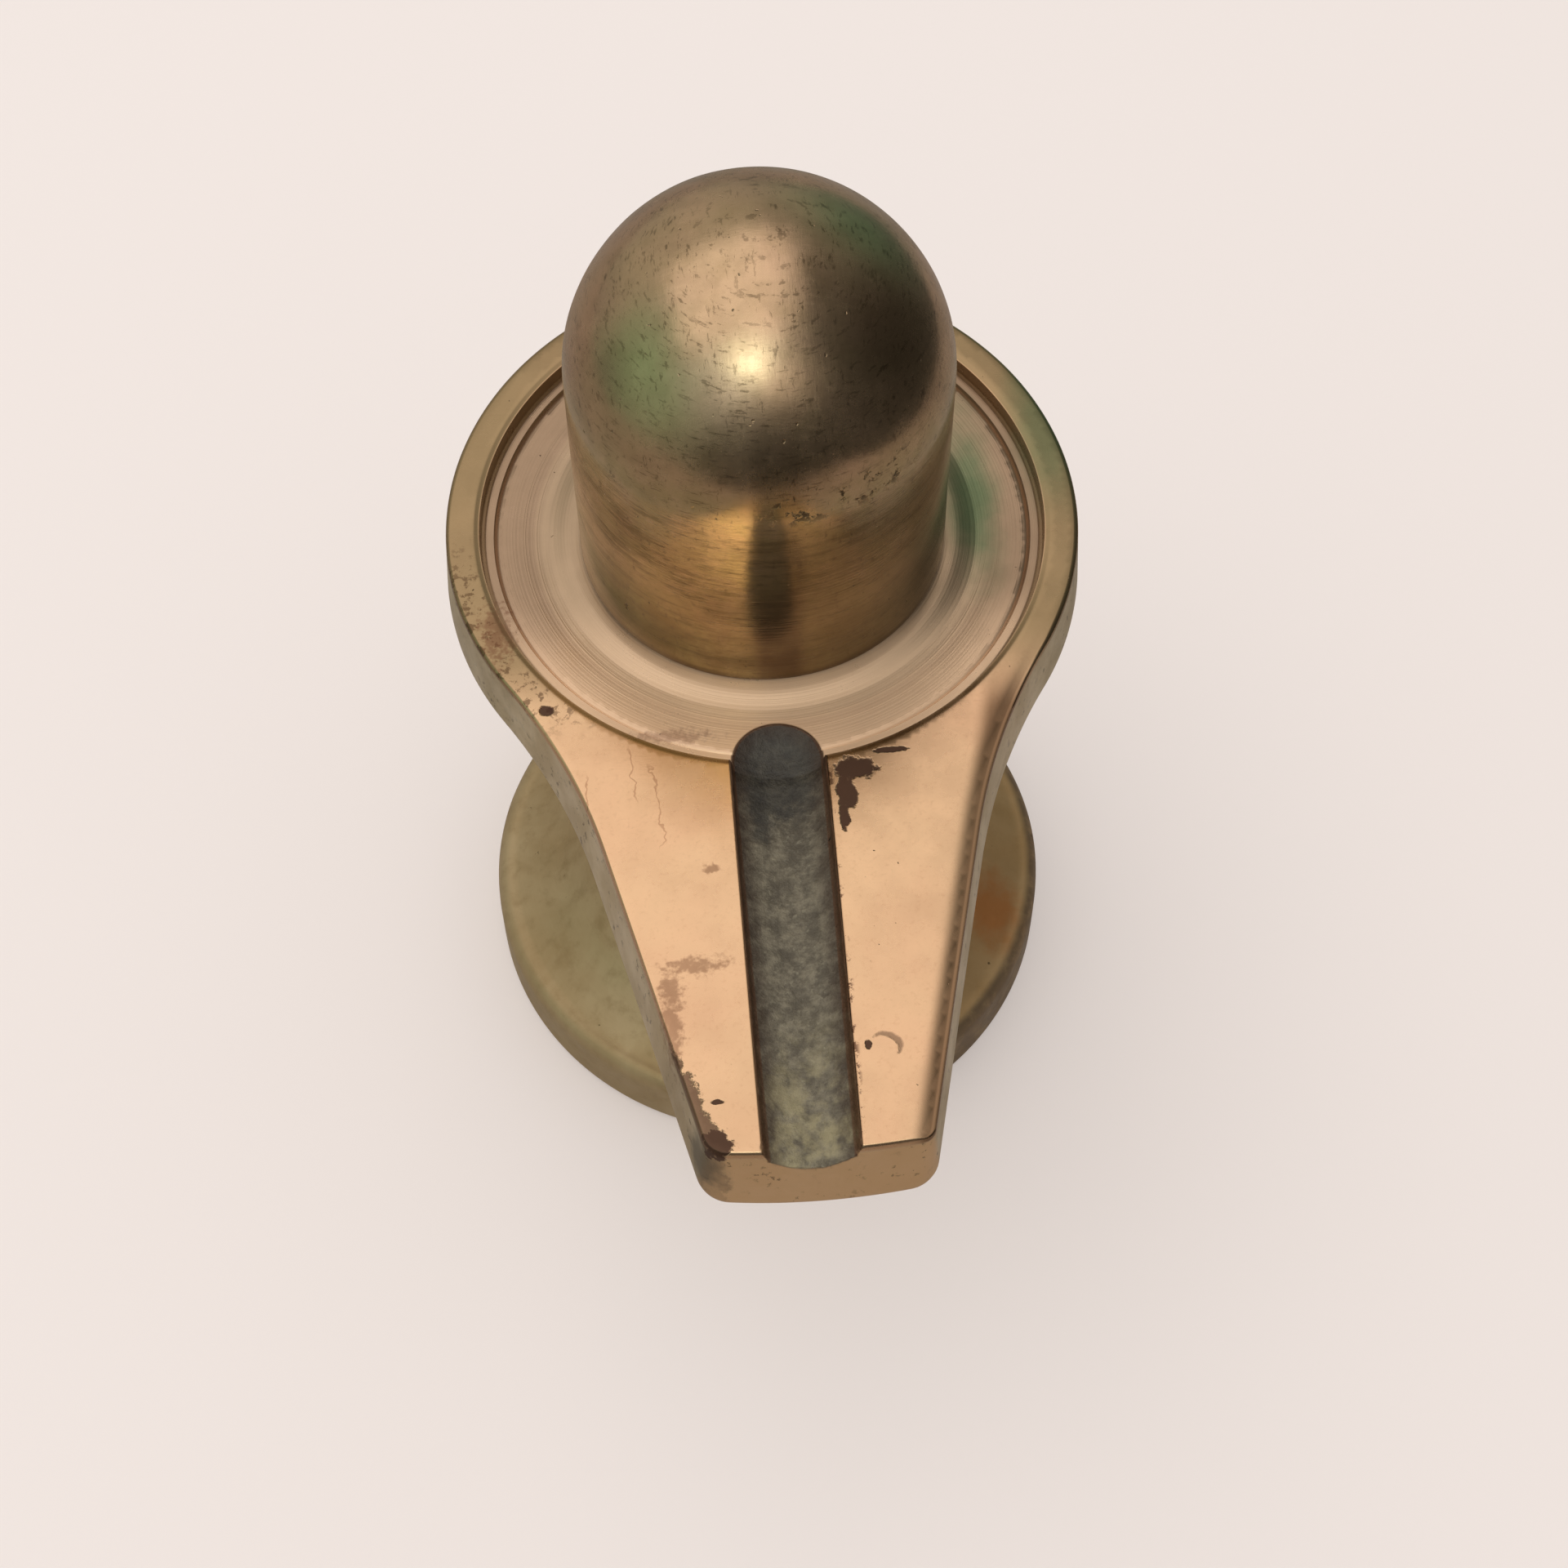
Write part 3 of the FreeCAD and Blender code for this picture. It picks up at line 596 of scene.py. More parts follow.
    # fine cracks: where each crosses x at y = 0, its slope, and where it starts and stops in y
    cracks = [(-13.4, -0.1, -17.5, -21.5), (-12.1, -0.1, -19.0, -25.0), (-11.3, 0.15, -19.5, -23.5)]
    hairlines = []
    for start, slope, first, last in cracks:
        line = s.linear(s.y, slope, start)
        line = s.linear(bend, 2.4, line)
        near = s.ramp(s.size(s.less(s.x, line)), 0.09, 0.03)
        near = s.times(near, s.ramp(s.y, first, first - 1), s.ramp(s.y, last - 1, last))
        hairlines.append(near)
    hairlines = s.times(s.most(*hairlines), s.ramp(s.z, top - 0.5, top - 0.3))
    color = s.film(color, hairlines, 0.4, (146, 92, 58))
    color = s.film(color, dark, 0.92, (84, 58, 50))

    # the channel: how far each point lies outside its wall, in millimetres
    head, tip = [[value / MM for value in end] for end in (CHANNEL_HEAD, CHANNEL_TIP)]
    share = s.math("DIVIDE", s.less(-head[0], s.y), tip[0] - head[0], clamp=True)
    shift, wide, foot, deep = [s.linear(share, b - a, a) for a, b in list(zip(head, tip))[1:5]]
    behind = s.most(s.plus(s.y, head[0]), 0.0)
    across = s.less(s.x, shift)
    side = s.math("SQRT", s.plus(s.times(across, across), s.times(behind, behind)))
    risen = s.most(s.plus(s.less(s.z, top), deep), 0.0)
    lean = s.math("DIVIDE", s.less(wide, foot), s.plus(deep, CHANNEL_OVER / MM))
    outside_wall = s.less(side, s.linear(lean, risen, foot))
    channel = s.ramp(outside_wall, 0.12, 0.03)
    bowl = s.linear(share, tip[5] - head[5], head[5])
    bowl = s.times(bowl, bowl)
    sag = s.math("SQRT", s.most(s.less(bowl, s.times(side, side)), 0.0))
    full = s.math("SQRT", s.less(bowl, s.times(foot, foot)))
    floor_z = s.less(s.less(full, sag), s.less(deep, top))
    channel = s.times(channel, s.ramp(s.less(s.z, floor_z), -0.25, -0.1))
    cast = s.noise(1.1, 5.0, 0.7, shift=120.0)
    cast_fine = s.noise(0.35, 3.0, 0.6, shift=124.0)
    channel_tone = s.mix(s.ramp(cast, 0.35, 0.72), rgb(88, 80, 66), rgb(136, 127, 106))
    channel_tone = s.mix(s.ramp(cast_fine, 0.55, 0.8, 0.0, 0.5), channel_tone, rgb(160, 152, 128))
    # darker at the channel's head
    black = s.blot((-0.6, -20.6, top - 2), (2.6, 2.4, 3.0), 0.9, 1.4, 126.0, 0.4)
    black = s.most(black, s.blot((-1.9, -22.5, top - 2), (0.8, 2.0, 3.0), 1.0, 1.4, 127.0, 0.5))
    black = s.most(black, s.ramp(s.y, -20.6, -19.4))
    channel_tone = s.film(channel_tone, black, 0.75, (46, 44, 42))
    near_end = s.ramp(s.noise(2.0, 4.0, 0.6, shift=130.0), 0.38, 0.6)
    near_end = s.times(near_end, s.ramp(s.y, -36.0, -45.0))
    channel_tone = s.film(channel_tone, near_end, 0.6, (170, 158, 118))
    wall_side = s.ramp(s.less(side, foot), -1.4, 0.0)
    wall_side = s.times(wall_side, s.ramp(s.noise(1.0, 4.0, 0.6, shift=134.0), 0.3, 0.6, 0.5, 1.0))
    channel_tone = s.film(channel_tone, wall_side, 0.75, (66, 48, 34))
    edge = s.ramp(s.size(s.less(outside_wall, 0.05)), 0.16, 0.04)
    edge = s.times(edge, s.ramp(s.plus(s.z, deep), top - 0.3, top - 0.1))
    color = s.mix(channel, color, channel_tone)
    tatters = s.ramp(s.noise(0.8, 5.0, 0.7, shift=140.0), 0.56, 0.62)
    tatters = s.times(tatters, s.ramp(s.size(outside_wall), 0.55, 0.2))
    tatters = s.times(tatters, s.ramp(across, 0.0, 1.0), s.ramp(s.z, top - 0.8, top - 0.4))
    color = s.film(color, tatters, 0.85, (96, 66, 52))
    color = s.film(color, edge, 0.7, (92, 56, 26))

    metal = s.less(1.0, s.times(channel, 0.55))
    metal = s.less(metal, s.times(sides, 0.3))
    metal = s.less(metal, s.times(basin, s.linear(front, 0.5, 0.12)))
    metal = s.math("SUBTRACT", metal, s.times(wall, 0.5), clamp=True)
    rough = s.ramp(s.noise(4.0, 5.0, 0.6, shift=150.0), 0.3, 0.75, 0.2, 0.32)
    for mask, more in ((basin, 0.06), (dark, 0.25), (soft, 0.12), (sides, 0.12)):
        rough = s.plus(rough, s.times(mask, more))
    rough = s.math("ADD", rough, s.times(channel, 0.3), clamp=True)

    lapping = s.noise(1.0, 4.0, 0.7, vector=s.stretch((0.35, 5.0, 1.0)))
    lapping_two = s.noise(1.0, 4.0, 0.7, vector=s.stretch((4.2, 0.5, 1.0), (3.0, 0.0, 0.0)))
    lap = s.plus(s.times(lapping, 0.6), s.times(lapping_two, 0.4))
    turned = s.times(ring_tone, basin)
    normal = s.bump(s.noise(8.0, 2.0, 0.5, shift=160.0), 0.12, 0.3)
    normal = s.bump(lap, 0.008, 0.4, normal)
    normal = s.bump(turned, 0.05, 0.7, normal)
    fine_rings = s.noise(0.16, 2.0, 0.5, vector=by_radius)
    normal = s.bump(s.times(fine_rings, basin), 0.02, 1.0, normal)
    cast_relief = s.plus(cast, s.times(cast_fine, 0.5))
    normal = s.bump(s.times(cast_relief, channel), 0.25, 0.8, normal)
    normal = s.bump(s.less(1.0, dark), 0.04, 0.8, normal)
    return s.finish(color, metal, rough, normal)


def pedestal_material():
    """Turned brass left to dull: olive-brown patina with turning marks and an orange spot on the foot."""
    s = Shader("pedestal_brass_finish")
    broad = s.noise(8.0, 4.0, 0.55, warp=0.5)
    mottled = s.noise(1.6, 5.0, 0.65, shift=5.0)
    color = s.mix(s.ramp(broad, 0.35, 0.7), rgb(162, 138, 98), rgb(178, 156, 118))
    color = s.mix(s.ramp(mottled, 0.45, 0.75, 0.0, 0.45), color, rgb(136, 112, 72))
    right = s.ramp(s.x, 8.0, 15.0)
    color = s.film(color, right, 0.4, (184, 140, 86))
    orange = s.blot((17.9, -7.0, 6.0), (2.4, 3.0, 4.0), 0.6, 1.6, 9.0, 0.6)
    color = s.film(color, orange, 0.7, (176, 106, 44))
    r = s.radius()
    edge = s.times(s.ramp(r, 21.0, 21.9), s.ramp(s.z, 6.4, 5.4))
    color = s.film(color, edge, 0.15, (196, 180, 146))
    mottle = s.ramp(s.noise(1.4, 4.0, 0.6, shift=15.0), 0.3, 0.6, 0.6, 1.0)
    # painted shadow on the right flank of the foot's edge, mottled
    flank_shadow = s.times(s.ramp(r, 21.8, 22.4), s.ramp(s.x, 6.0, 12.0), mottle)
    color = s.film(color, flank_shadow, 0.75, (96, 80, 64))
    specks = s.ramp(s.noise(0.8, 2.0, 0.5, shift=31.0), 0.74, 0.79)
    color = s.film(color, specks, 0.8, (78, 58, 36))
    rings = s.noise(0.5, 4.0, 0.65, vector=s.vector(r, 0.0, s.z))
    rough = s.ramp(s.noise(3.0, 5.0, 0.6, shift=70.0), 0.3, 0.75, 0.42, 0.56)
    rough = s.plus(rough, s.times(specks, 0.2))
    normal = s.bump(s.noise(6.0, 2.0, 0.5, shift=51.0), 0.2, 0.35)
    normal = s.bump(rings, 0.03, 0.5, normal)
    normal = s.bump(mottled, 0.05, 0.3, normal)
    return s.finish(color, 0.6, rough, normal)


def fastener_material():
    """Zinc-plated steel, a little dulled, with a mottled film."""
    s = Shader("fastener_zinc_finish")
    film = s.noise(1.5, 5.0, 0.6)
    color = s.mix(s.ramp(film, 0.35, 0.7), rgb(186, 188, 190), rgb(158, 156, 150))
    grime = s.ramp(s.noise(0.9, 4.0, 0.7, shift=12.0), 0.6, 0.8, 0.0, 0.6)
    color = s.mix(grime, color, rgb(110, 92, 66))
    return s.finish(color, 1.0, s.ramp(film, 0.3, 0.75, 0.3, 0.48), s.bump(film, 0.03, 0.5))


# ---------------------------------------------------------------- pillar


def make_pillar():
    """The domed pillar with its hidden spigot and tapped hole."""
    arc_steps = 110
    dome = [(0.0, pillar_high[2])]
    for k in range(1, arc_steps + 1):
        angle = math.pi / 2 * k / arc_steps
        dome.append((PILLAR_RADIUS * math.sin(angle), DOME_CENTRE + PILLAR_RADIUS * math.cos(angle)))
    spigot = 6.0 * MM
    tap = 3.0 * MM
    tap_top = pillar_low[2] + 14.0 * MM
    below = rounded_path([
        (PILLAR_RADIUS, DOME_CENTRE, 0),
        (PILLAR_RADIUS, SEAT_Z, 0.12 * MM),
        (spigot, SEAT_Z, 0),
        (spigot, pillar_low[2], 0.3 * MM),
        (tap, pillar_low[2], 0),
        (tap, tap_top, 0),
        (0.0, tap_top + 1.7 * MM, 0),
    ], step=0.35 * MM)

    def warp(points):
        above = np.maximum(points[:, 2] - DOME_CENTRE, 0)
        reach = np.sqrt(points[:, 0] ** 2 + points[:, 1] ** 2 + above**2)
        outside = smooth_step(PILLAR_RADIUS - 0.5 * MM, PILLAR_RADIUS - 0.1 * MM, reach)
        outside *= smooth_step(SEAT_Z, SEAT_Z + 1.0 * MM, points[:, 2])
        hand = noise_at(points, 7.0 * MM, 1) * 0.035 * MM
        flats = noise_at(points, 2.6 * MM, 2) * 0.006 * MM
        return (hand + flats - 0.02 * MM) * outside

    return lathe("polished_pillar", dome + below[1:], 288, warp=warp)


# ---------------------------------------------------------------- spouted dish


def outline(rim_out, left_out, right_out, end_out, left, right, bow):
    """One level of the plate's outline as an array of points, anticlockwise from the rim arc's right end.

    The "out" amounts move the rim, the spout's sides and its end. left and right are its corner radii.
    """
    rim = RIM_RADIUS + rim_out
    blend = BLEND_RADIUS - rim_out
    normal = Vector((math.cos(SIDE_STEEP), -math.sin(SIDE_STEEP)))
    along = Vector((-math.sin(SIDE_STEEP), -math.cos(SIDE_STEEP)))
    bow_centre = Vector((0.0, bow - SPOUT_REACH - end_out))
    rim_count, blend_count, side_count, corner_count, end_count = 300, 50, 70, 14, 90

    def flip(point):
        return Vector((-point.x, point.y))

    def side(line_out, corner):
        """Blend centre, rim end, side start, corner centre, side end and bow end, for the +X side."""
        drop = math.sqrt((rim + blend) ** 2 - (line_out + blend) ** 2)
        centre = normal * (line_out + blend) + along * drop
        start = normal * (line_out - corner) - bow_centre
        half = start.dot(along)
        run = -half + math.sqrt(half**2 - start.length_squared + (bow - corner) ** 2)
        turn = start + along * run + bow_centre
        end = bow_centre + (turn - bow_centre).normalized() * bow
        on_rim = centre * (rim / centre.length)
        return centre, on_rim, centre - normal * blend, turn, turn + normal * corner, end

    def sweep(centre, radius, first, last, count):
        turns = np.linspace(first, last, count, endpoint=False)
        return [centre + Vector((math.cos(t), math.sin(t))) * radius for t in turns]

    def run_along(first, last):
        return [first.lerp(last, t) for t in np.linspace(0, 1, side_count, endpoint=False)]

    def arc(centre, radius, first, last, count):
        a = math.atan2(first.y - centre.y, first.x - centre.x)
        b = math.atan2(last.y - centre.y, last.x - centre.x)
        b += 2 * math.pi if b - a < -math.pi else 0.0
        b -= 2 * math.pi if b - a > math.pi else 0.0
        return sweep(centre, radius, a, b, count)

    right_blend, on_rim, on_side, right_turn, right_side, right_end = side(SIDE_LINE + right_out, right)
    mirrored = [flip(point) for point in side(SIDE_LINE + left_out, left)]
    left_blend, left_rim, left_on, left_turn, left_side, left_end = mirrored
    rim_start = math.atan2(on_rim.y, on_rim.x)
    rim_stop = math.atan2(left_rim.y, left_rim.x) + (2 * math.pi if left_rim.y < 0 else 0)
    points = sweep(Vector((0.0, 0.0)), rim, rim_start, rim_stop, rim_count)
    points += arc(left_blend, blend, left_rim, left_on, blend_count)
    points += run_along(left_on, left_side)
    points += arc(left_turn, left, left_side, left_end, corner_count)
    points += arc(bow_centre, bow, left_end, right_end, end_count)
    points += arc(right_turn, right, right_end, right_side, corner_count)
    points += run_along(right_side, on_side)
    points += arc(right_blend, blend, on_side, on_rim, blend_count)
    return np.array([tuple(p) for p in points])


def channel_at(y):
    """The channel's shift, half-width on top, wall foot (half-width and depth) and floor radius at each y."""
    share = np.clip((-y - CHANNEL_HEAD[0]) / (CHANNEL_TIP[0] - CHANNEL_HEAD[0]), 0, 1)
    return [head + (tip - head) * share for head, tip in zip(CHANNEL_HEAD[1:], CHANNEL_TIP[1:])]


def groove_height(x, y):
    """Height of the channel's floor and walls over each point. They rise on past the top face."""
    shift, wide, foot, depth, radius = channel_at(y)
    side = np.hypot(x - shift, np.maximum(y + CHANNEL_HEAD[0], 0))
    floor = np.sqrt(np.maximum(radius**2 - foot**2, 0)) - np.sqrt(np.maximum(radius**2 - side**2, 0))
    wall = (side - foot) / (wide - foot) * (depth + CHANNEL_OVER)
    return PLATE_TOP - depth + np.where(side < foot, floor, wall)


def basin_height(r):
    """Height of the top face by distance from the dish's axis: seat, floor, fine step, wall and rim."""
    floor = FLOOR_Z - DISHING + (COLLAR_RISE + DISHING) * smooth_step(COLLAR_FOOT, COLLAR_FLAT, r)
    floor += (DISHING + 0.05 * MM) * smooth_step(COLLAR_FOOT, 18.4 * MM, r)
    step = BASIN_RADIUS - LEDGE_WIDTH
    floor -= 0.10 * MM * np.clip(1 - np.abs(r - step) / (0.14 * MM), 0, 1)
    floor += (LEDGE_RISE - 0.05 * MM) * smooth_step(step - 0.02 * MM, step + 0.16 * MM, r)
    wall = np.clip((r - BASIN_RADIUS + 0.1 * MM) / (0.1 * MM), 0, 1)
    crown = 0.10 * MM * smooth_step(BASIN_RADIUS, BASIN_RADIUS + 0.45 * MM, r) - 0.10 * MM
    return floor * (1 - wall) + (PLATE_TOP + crown) * wall


def top_height(x, y):
    """Height of the dish's top face at each point, the channel included."""
    plain = basin_height(np.hypot(x, y))
    worn = np.clip(WORN_WIDTH - right_edge_distance(x, y), 0, WORN_WIDTH) / WORN_WIDTH
    plain -= WORN_DEPTH * worn**2 * smooth_step(-9 * MM, -17 * MM, y)
    return soft_min(plain, groove_height(x, y), CHANNEL_ROUNDING)


def right_edge_distance(x, y):
    """Distance in from the spout's right side, whose top edge is worn down softly."""
    line = SIDE_LINE - (x * math.cos(SIDE_STEEP) - y * math.sin(SIDE_STEEP))
    drop = math.sqrt((RIM_RADIUS + BLEND_RADIUS) ** 2 - (SIDE_LINE + BLEND_RADIUS) ** 2)
    across, along = SIDE_LINE + BLEND_RADIUS, drop
    centre_x = across * math.cos(SIDE_STEEP) - along * math.sin(SIDE_STEEP)
    centre_y = -across * math.sin(SIDE_STEEP) - along * math.cos(SIDE_STEEP)
    past_blend = x * math.sin(SIDE_STEEP) + y * math.cos(SIDE_STEEP) < -along
    return np.where(past_blend, line, np.hypot(x - centre_x, y - centre_y) - BLEND_RADIUS)


HALVINGS = 24


def channel_edge(at_face, offset):
    """Points along the channel's wall, at its foot or at the top face, moved out by offset."""
    head = CHANNEL_HEAD[0]
    rows = np.arange(-SPOUT_REACH + 0.9 * MM, -head, 0.22 * MM)
    rays = [(1.0, 0.0, y) for y in rows]
    rays += [(math.cos(angle), math.sin(angle), -head) for angle in np.linspace(0, math.pi, 40)]
    rays += [(-1.0, 0.0, y) for y in rows[::-1]]
    edge = []
    for dx, dy, y in rays:
        shift, wide, foot = (float(v) for v in channel_at(np.float64(y))[:3])
        reach = foot
        if at_face:
            low, high = foot, wide
            for _ in range(HALVINGS):
                middle = (low + high) / 2
                x_at, y_at = shift + dx * middle, y + dy * middle
                face = basin_height(np.array([math.hypot(x_at, y_at)]))[0]
                if groove_height(np.array([x_at]), np.array([y_at]))[0] < face:
                    low = middle
                else:
                    high = middle
            reach = low
        edge.append((shift + dx * (reach + offset), y + dy * (reach + offset)))
    return edge


def inside_outline(points, loop):
    """True for points inside a loop that every ray from the axis meets once."""
    angles = np.arctan2(loop[:, 1], loop[:, 0])
    order = np.argsort(angles)
    toward_points = np.arctan2(points[:, 1], points[:, 0])
    reach = np.interp(toward_points, angles[order], np.hypot(*loop[order].T), period=2 * math.pi)
    return np.hypot(*points.T) < reach


def fill_points(loop):
    """Scattered inner points: an even lattice, finer in and beside the channel."""
    found = []
    for step, fine in ((0.42 * MM, False), (0.2 * MM, True)):
        rows = np.arange(-SPOUT_REACH, RIM_RADIUS, step * math.sqrt(3) / 2)
        for index, y in enumerate(rows):
            x = np.arange(-RIM_RADIUS, RIM_RADIUS, step) + (index % 2) * step / 2
            found.append(np.column_stack([x, np.full_like(x, y), np.full_like(x, float(fine))]))
    found = np.vstack(found)
    x, y, fine = found.T
    near_channel = (np.abs(x - CHANNEL_HEAD[1]) < 4.2 * MM) & (y < -CHANNEL_HEAD[0] + 4.0 * MM)
    found = found[(fine > 0.5) == near_channel][:, :2]
    r = np.hypot(*found.T)
    pushed_out = found * (1 + 0.25 * MM / np.maximum(r, MM))[:, None]
    clear = (r > BORE_RADIUS + 0.2 * MM) & inside_outline(pushed_out, loop)
    for circle in crease_radii():
        clear &= np.abs(r - circle) > 0.12 * MM
    return found[clear]


def crease_radii():
    """Circles of the basin where its height bends."""
    wall = [BASIN_RADIUS - d * MM for d in (0.1, 0.05, 0.0)]
    crown = [BASIN_RADIUS + d * MM for d in (0.15, 0.3, 0.45)]
    step = [BASIN_RADIUS - LEDGE_WIDTH + d * MM for d in (-0.14, -0.07, 0.0, 0.07, 0.16)]
    collar = list(np.linspace(COLLAR_FLAT - 0.2 * MM, COLLAR_FOOT, 11))
    return step + wall + crown + collar


def flat_triangles(points, edges):
    """Triangles of flat points that keep the edges: the points, the triangles and each point's sources."""
    result = geometry.delaunay_2d_cdt([Vector(p) for p in points], edges, [], 0, 1e-7, True)
    coords = np.array([tuple(p) for p in result[0]])
    triangles = np.array([tuple(f) for f in result[2] if len(f) == 3])
    return coords, triangles, result[3]


def make_dish():
    """The plate as one closed mesh: its top face, rolled edges, sides and underside, with its bore."""
    def level(z, inset):
        share = np.clip((PLATE_TOP - z) / PLATE_THICK, 0, 1)
        left, right = [
            max(corner + (LOW_CORNER - corner) * share - inset, LEAST_CORNER)
            for corner in (LEFT_CORNER, RIGHT_CORNER)
        ]
        crisp = 0.4 if share < 0.4 else 1.0
        rim_out = RIM_FLARE * share - inset
        left_out = LEFT_FLARE * share - inset * crisp
        right_out = RIGHT_FLARE * share - inset
        end_out = END_SLOPE * share - inset * crisp
        bow = END_BOW + (LOW_BOW - END_BOW) * share
        return outline(rim_out, left_out, right_out, end_out, left, right, bow)

    top_loop = level(PLATE_TOP, TOP_ROLL)
    inner_count = 72
    bore_flat = BORE_RADIUS * math.cos(math.pi / inner_count) - 1e-6

    def within(points, edges, loop):
        """Triangles of the points that lie inside the loop and outside the bore, with their sources."""
        coords, triangles, sources = flat_triangles(points, edges)
        middle = coords[triangles].mean(axis=1)
        keep = inside_outline(middle, loop) & (np.hypot(*middle.T) > bore_flat)
        return coords, triangles[keep], sources

    ring = np.linspace(0, 2 * math.pi, inner_count, endpoint=False)
    bore = np.column_stack([BORE_RADIUS * np.cos(ring), BORE_RADIUS * np.sin(ring)])

    points = [top_loop, bore]
    edges = []

    def chain(first, count, closed=True):
        return [(first + k, first + n) for k, n in next_pairs(count) if closed or n]

    edges += chain(0, len(top_loop))
    edges += chain(len(top_loop), inner_count)
    placed = len(top_loop) + inner_count
    for circle in crease_radii():
        count = 360
        angles = np.linspace(0, 2 * math.pi, count, endpoint=False) + circle / MM
        points.append(np.column_stack([circle * np.cos(angles), circle * np.sin(angles)]))
        edges += chain(placed, count)
        placed += count
    wall_lines = [(False, -0.3), (False, -0.12), (False, 0.0)]
    wall_lines += [(True, -0.08), (True, 0.0), (True, 0.08), (True, 0.18)]
    for at_face, offset in wall_lines:
        edge = np.array(channel_edge(at_face, offset * MM))
        points.append(edge)
        edges += chain(placed, len(edge), closed=False)
        placed += len(edge)
    points.append(fill_points(top_loop))
    coords, triangles, sources = within(np.vstack(points), edges, top_loop)
    found = {source: index for index, origin in enumerate(sources) for source in origin}
    top_ids = [found[k] for k in range(len(top_loop))]
    bore_ids = [found[len(top_loop) + k] for k in range(inner_count)]
    heights = top_height(coords[:, 0], coords[:, 1])
    vertices = [tuple(p) for p in np.column_stack([coords, heights])]
    faces = [tuple(t) for t in triangles]

    # sides: rolled top edge, wall, rolled low edge
    def rolled(start, size, first, last, count, way):
        turns = [math.radians(angle) for angle in np.linspace(first, last, count)[1:]]
        return [(start - way * size * (1 - math.sin(turn)), size * (1 - math.cos(turn))) for turn in turns]

    low = PLATE_TOP - PLATE_THICK
    levels = rolled(PLATE_TOP, TOP_ROLL, 90, 0, 7, 1)
    levels += [(z, 0.0) for z in np.linspace(PLATE_TOP - TOP_ROLL, low + LOW_ROLL, 17)[1:]]
    levels += rolled(low, LOW_ROLL, 0, 90, 8, -1)
    count = len(top_loop)
    previous = top_ids
    last = heights[top_ids]
    for z, inset in levels:
        loop = level(z, inset)
        cut = soft_min(np.full(count, z), groove_height(loop[:, 0], loop[:, 1]), CHANNEL_ROUNDING)
        cut = np.minimum(cut, last - 0.004 * MM)
        last = cut
        start = len(vertices)
        vertices += [tuple(p) for p in np.column_stack([loop, cut])]
        here = list(range(start, start + count))
        faces += [(previous[k], here[k], here[n], previous[n]) for k, n in next_pairs(count)]
        previous = here

    # underside and bore
    under_edges = chain(0, count) + chain(count, inner_count)
    under, under_faces, under_sources = within(np.vstack([loop, bore]), under_edges, loop)
    number = {}
    for index, origin in enumerate(under_sources):
        for source in origin:
            if source < count:
                number[index] = previous[source]
            else:
                number[index] = len(vertices)
                vertices.append((*under[index], low))
                number[("bore", source - count)] = number[index]
    faces += [tuple(number[c] for c in face) for face in under_faces]
    for k, n in next_pairs(inner_count):
        faces.append((bore_ids[k], bore_ids[n], number[("bore", n)], number[("bore", k)]))
    piece = finish_mesh("cast_dish", vertices, faces, sharp_deg=50)

    def warp(points):
        x, y, z = points.T
        shift, wide, foot, depth, _ = channel_at(y)
        side = np.hypot(x - shift, np.maximum(y + CHANNEL_HEAD[0], 0))
        wall = foot + (wide - foot) * np.maximum(z - PLATE_TOP + depth, 0) / (depth + CHANNEL_OVER)
        in_channel = smooth_step(0.08 * MM, -0.02 * MM, side - wall)
        in_channel *= smooth_step(low + 1.5 * MM, low + 1.9 * MM, z)
        polish = noise_at(points, 9.0 * MM, 4) * 0.02 * MM
        cast = noise_at(points, 0.9 * MM, 5, 4) * 0.055 * MM
        return polish * (1 - in_channel) + cast * in_channel

    push_along_normals(piece, warp)
    return piece


# ---------------------------------------------------------------- pedestal


def arc_path(start, end, radius, count):
    """Points from start to end along an arc. A positive radius turns left, and a negative one right."""
    a, b = Vector(start), Vector(end)
    chord = b - a
    height = math.sqrt(radius**2 - (chord.length / 2) ** 2)
    left = Vector((-chord.y, chord.x)).normalized()
    centre = (a + b) / 2 + left * math.copysign(height, radius)
    first = a - centre
    turn = first.angle_signed(b - centre)
    return [tuple(centre + Matrix.Rotation(-turn * k / count, 2) @ first) for k in range(count + 1)]


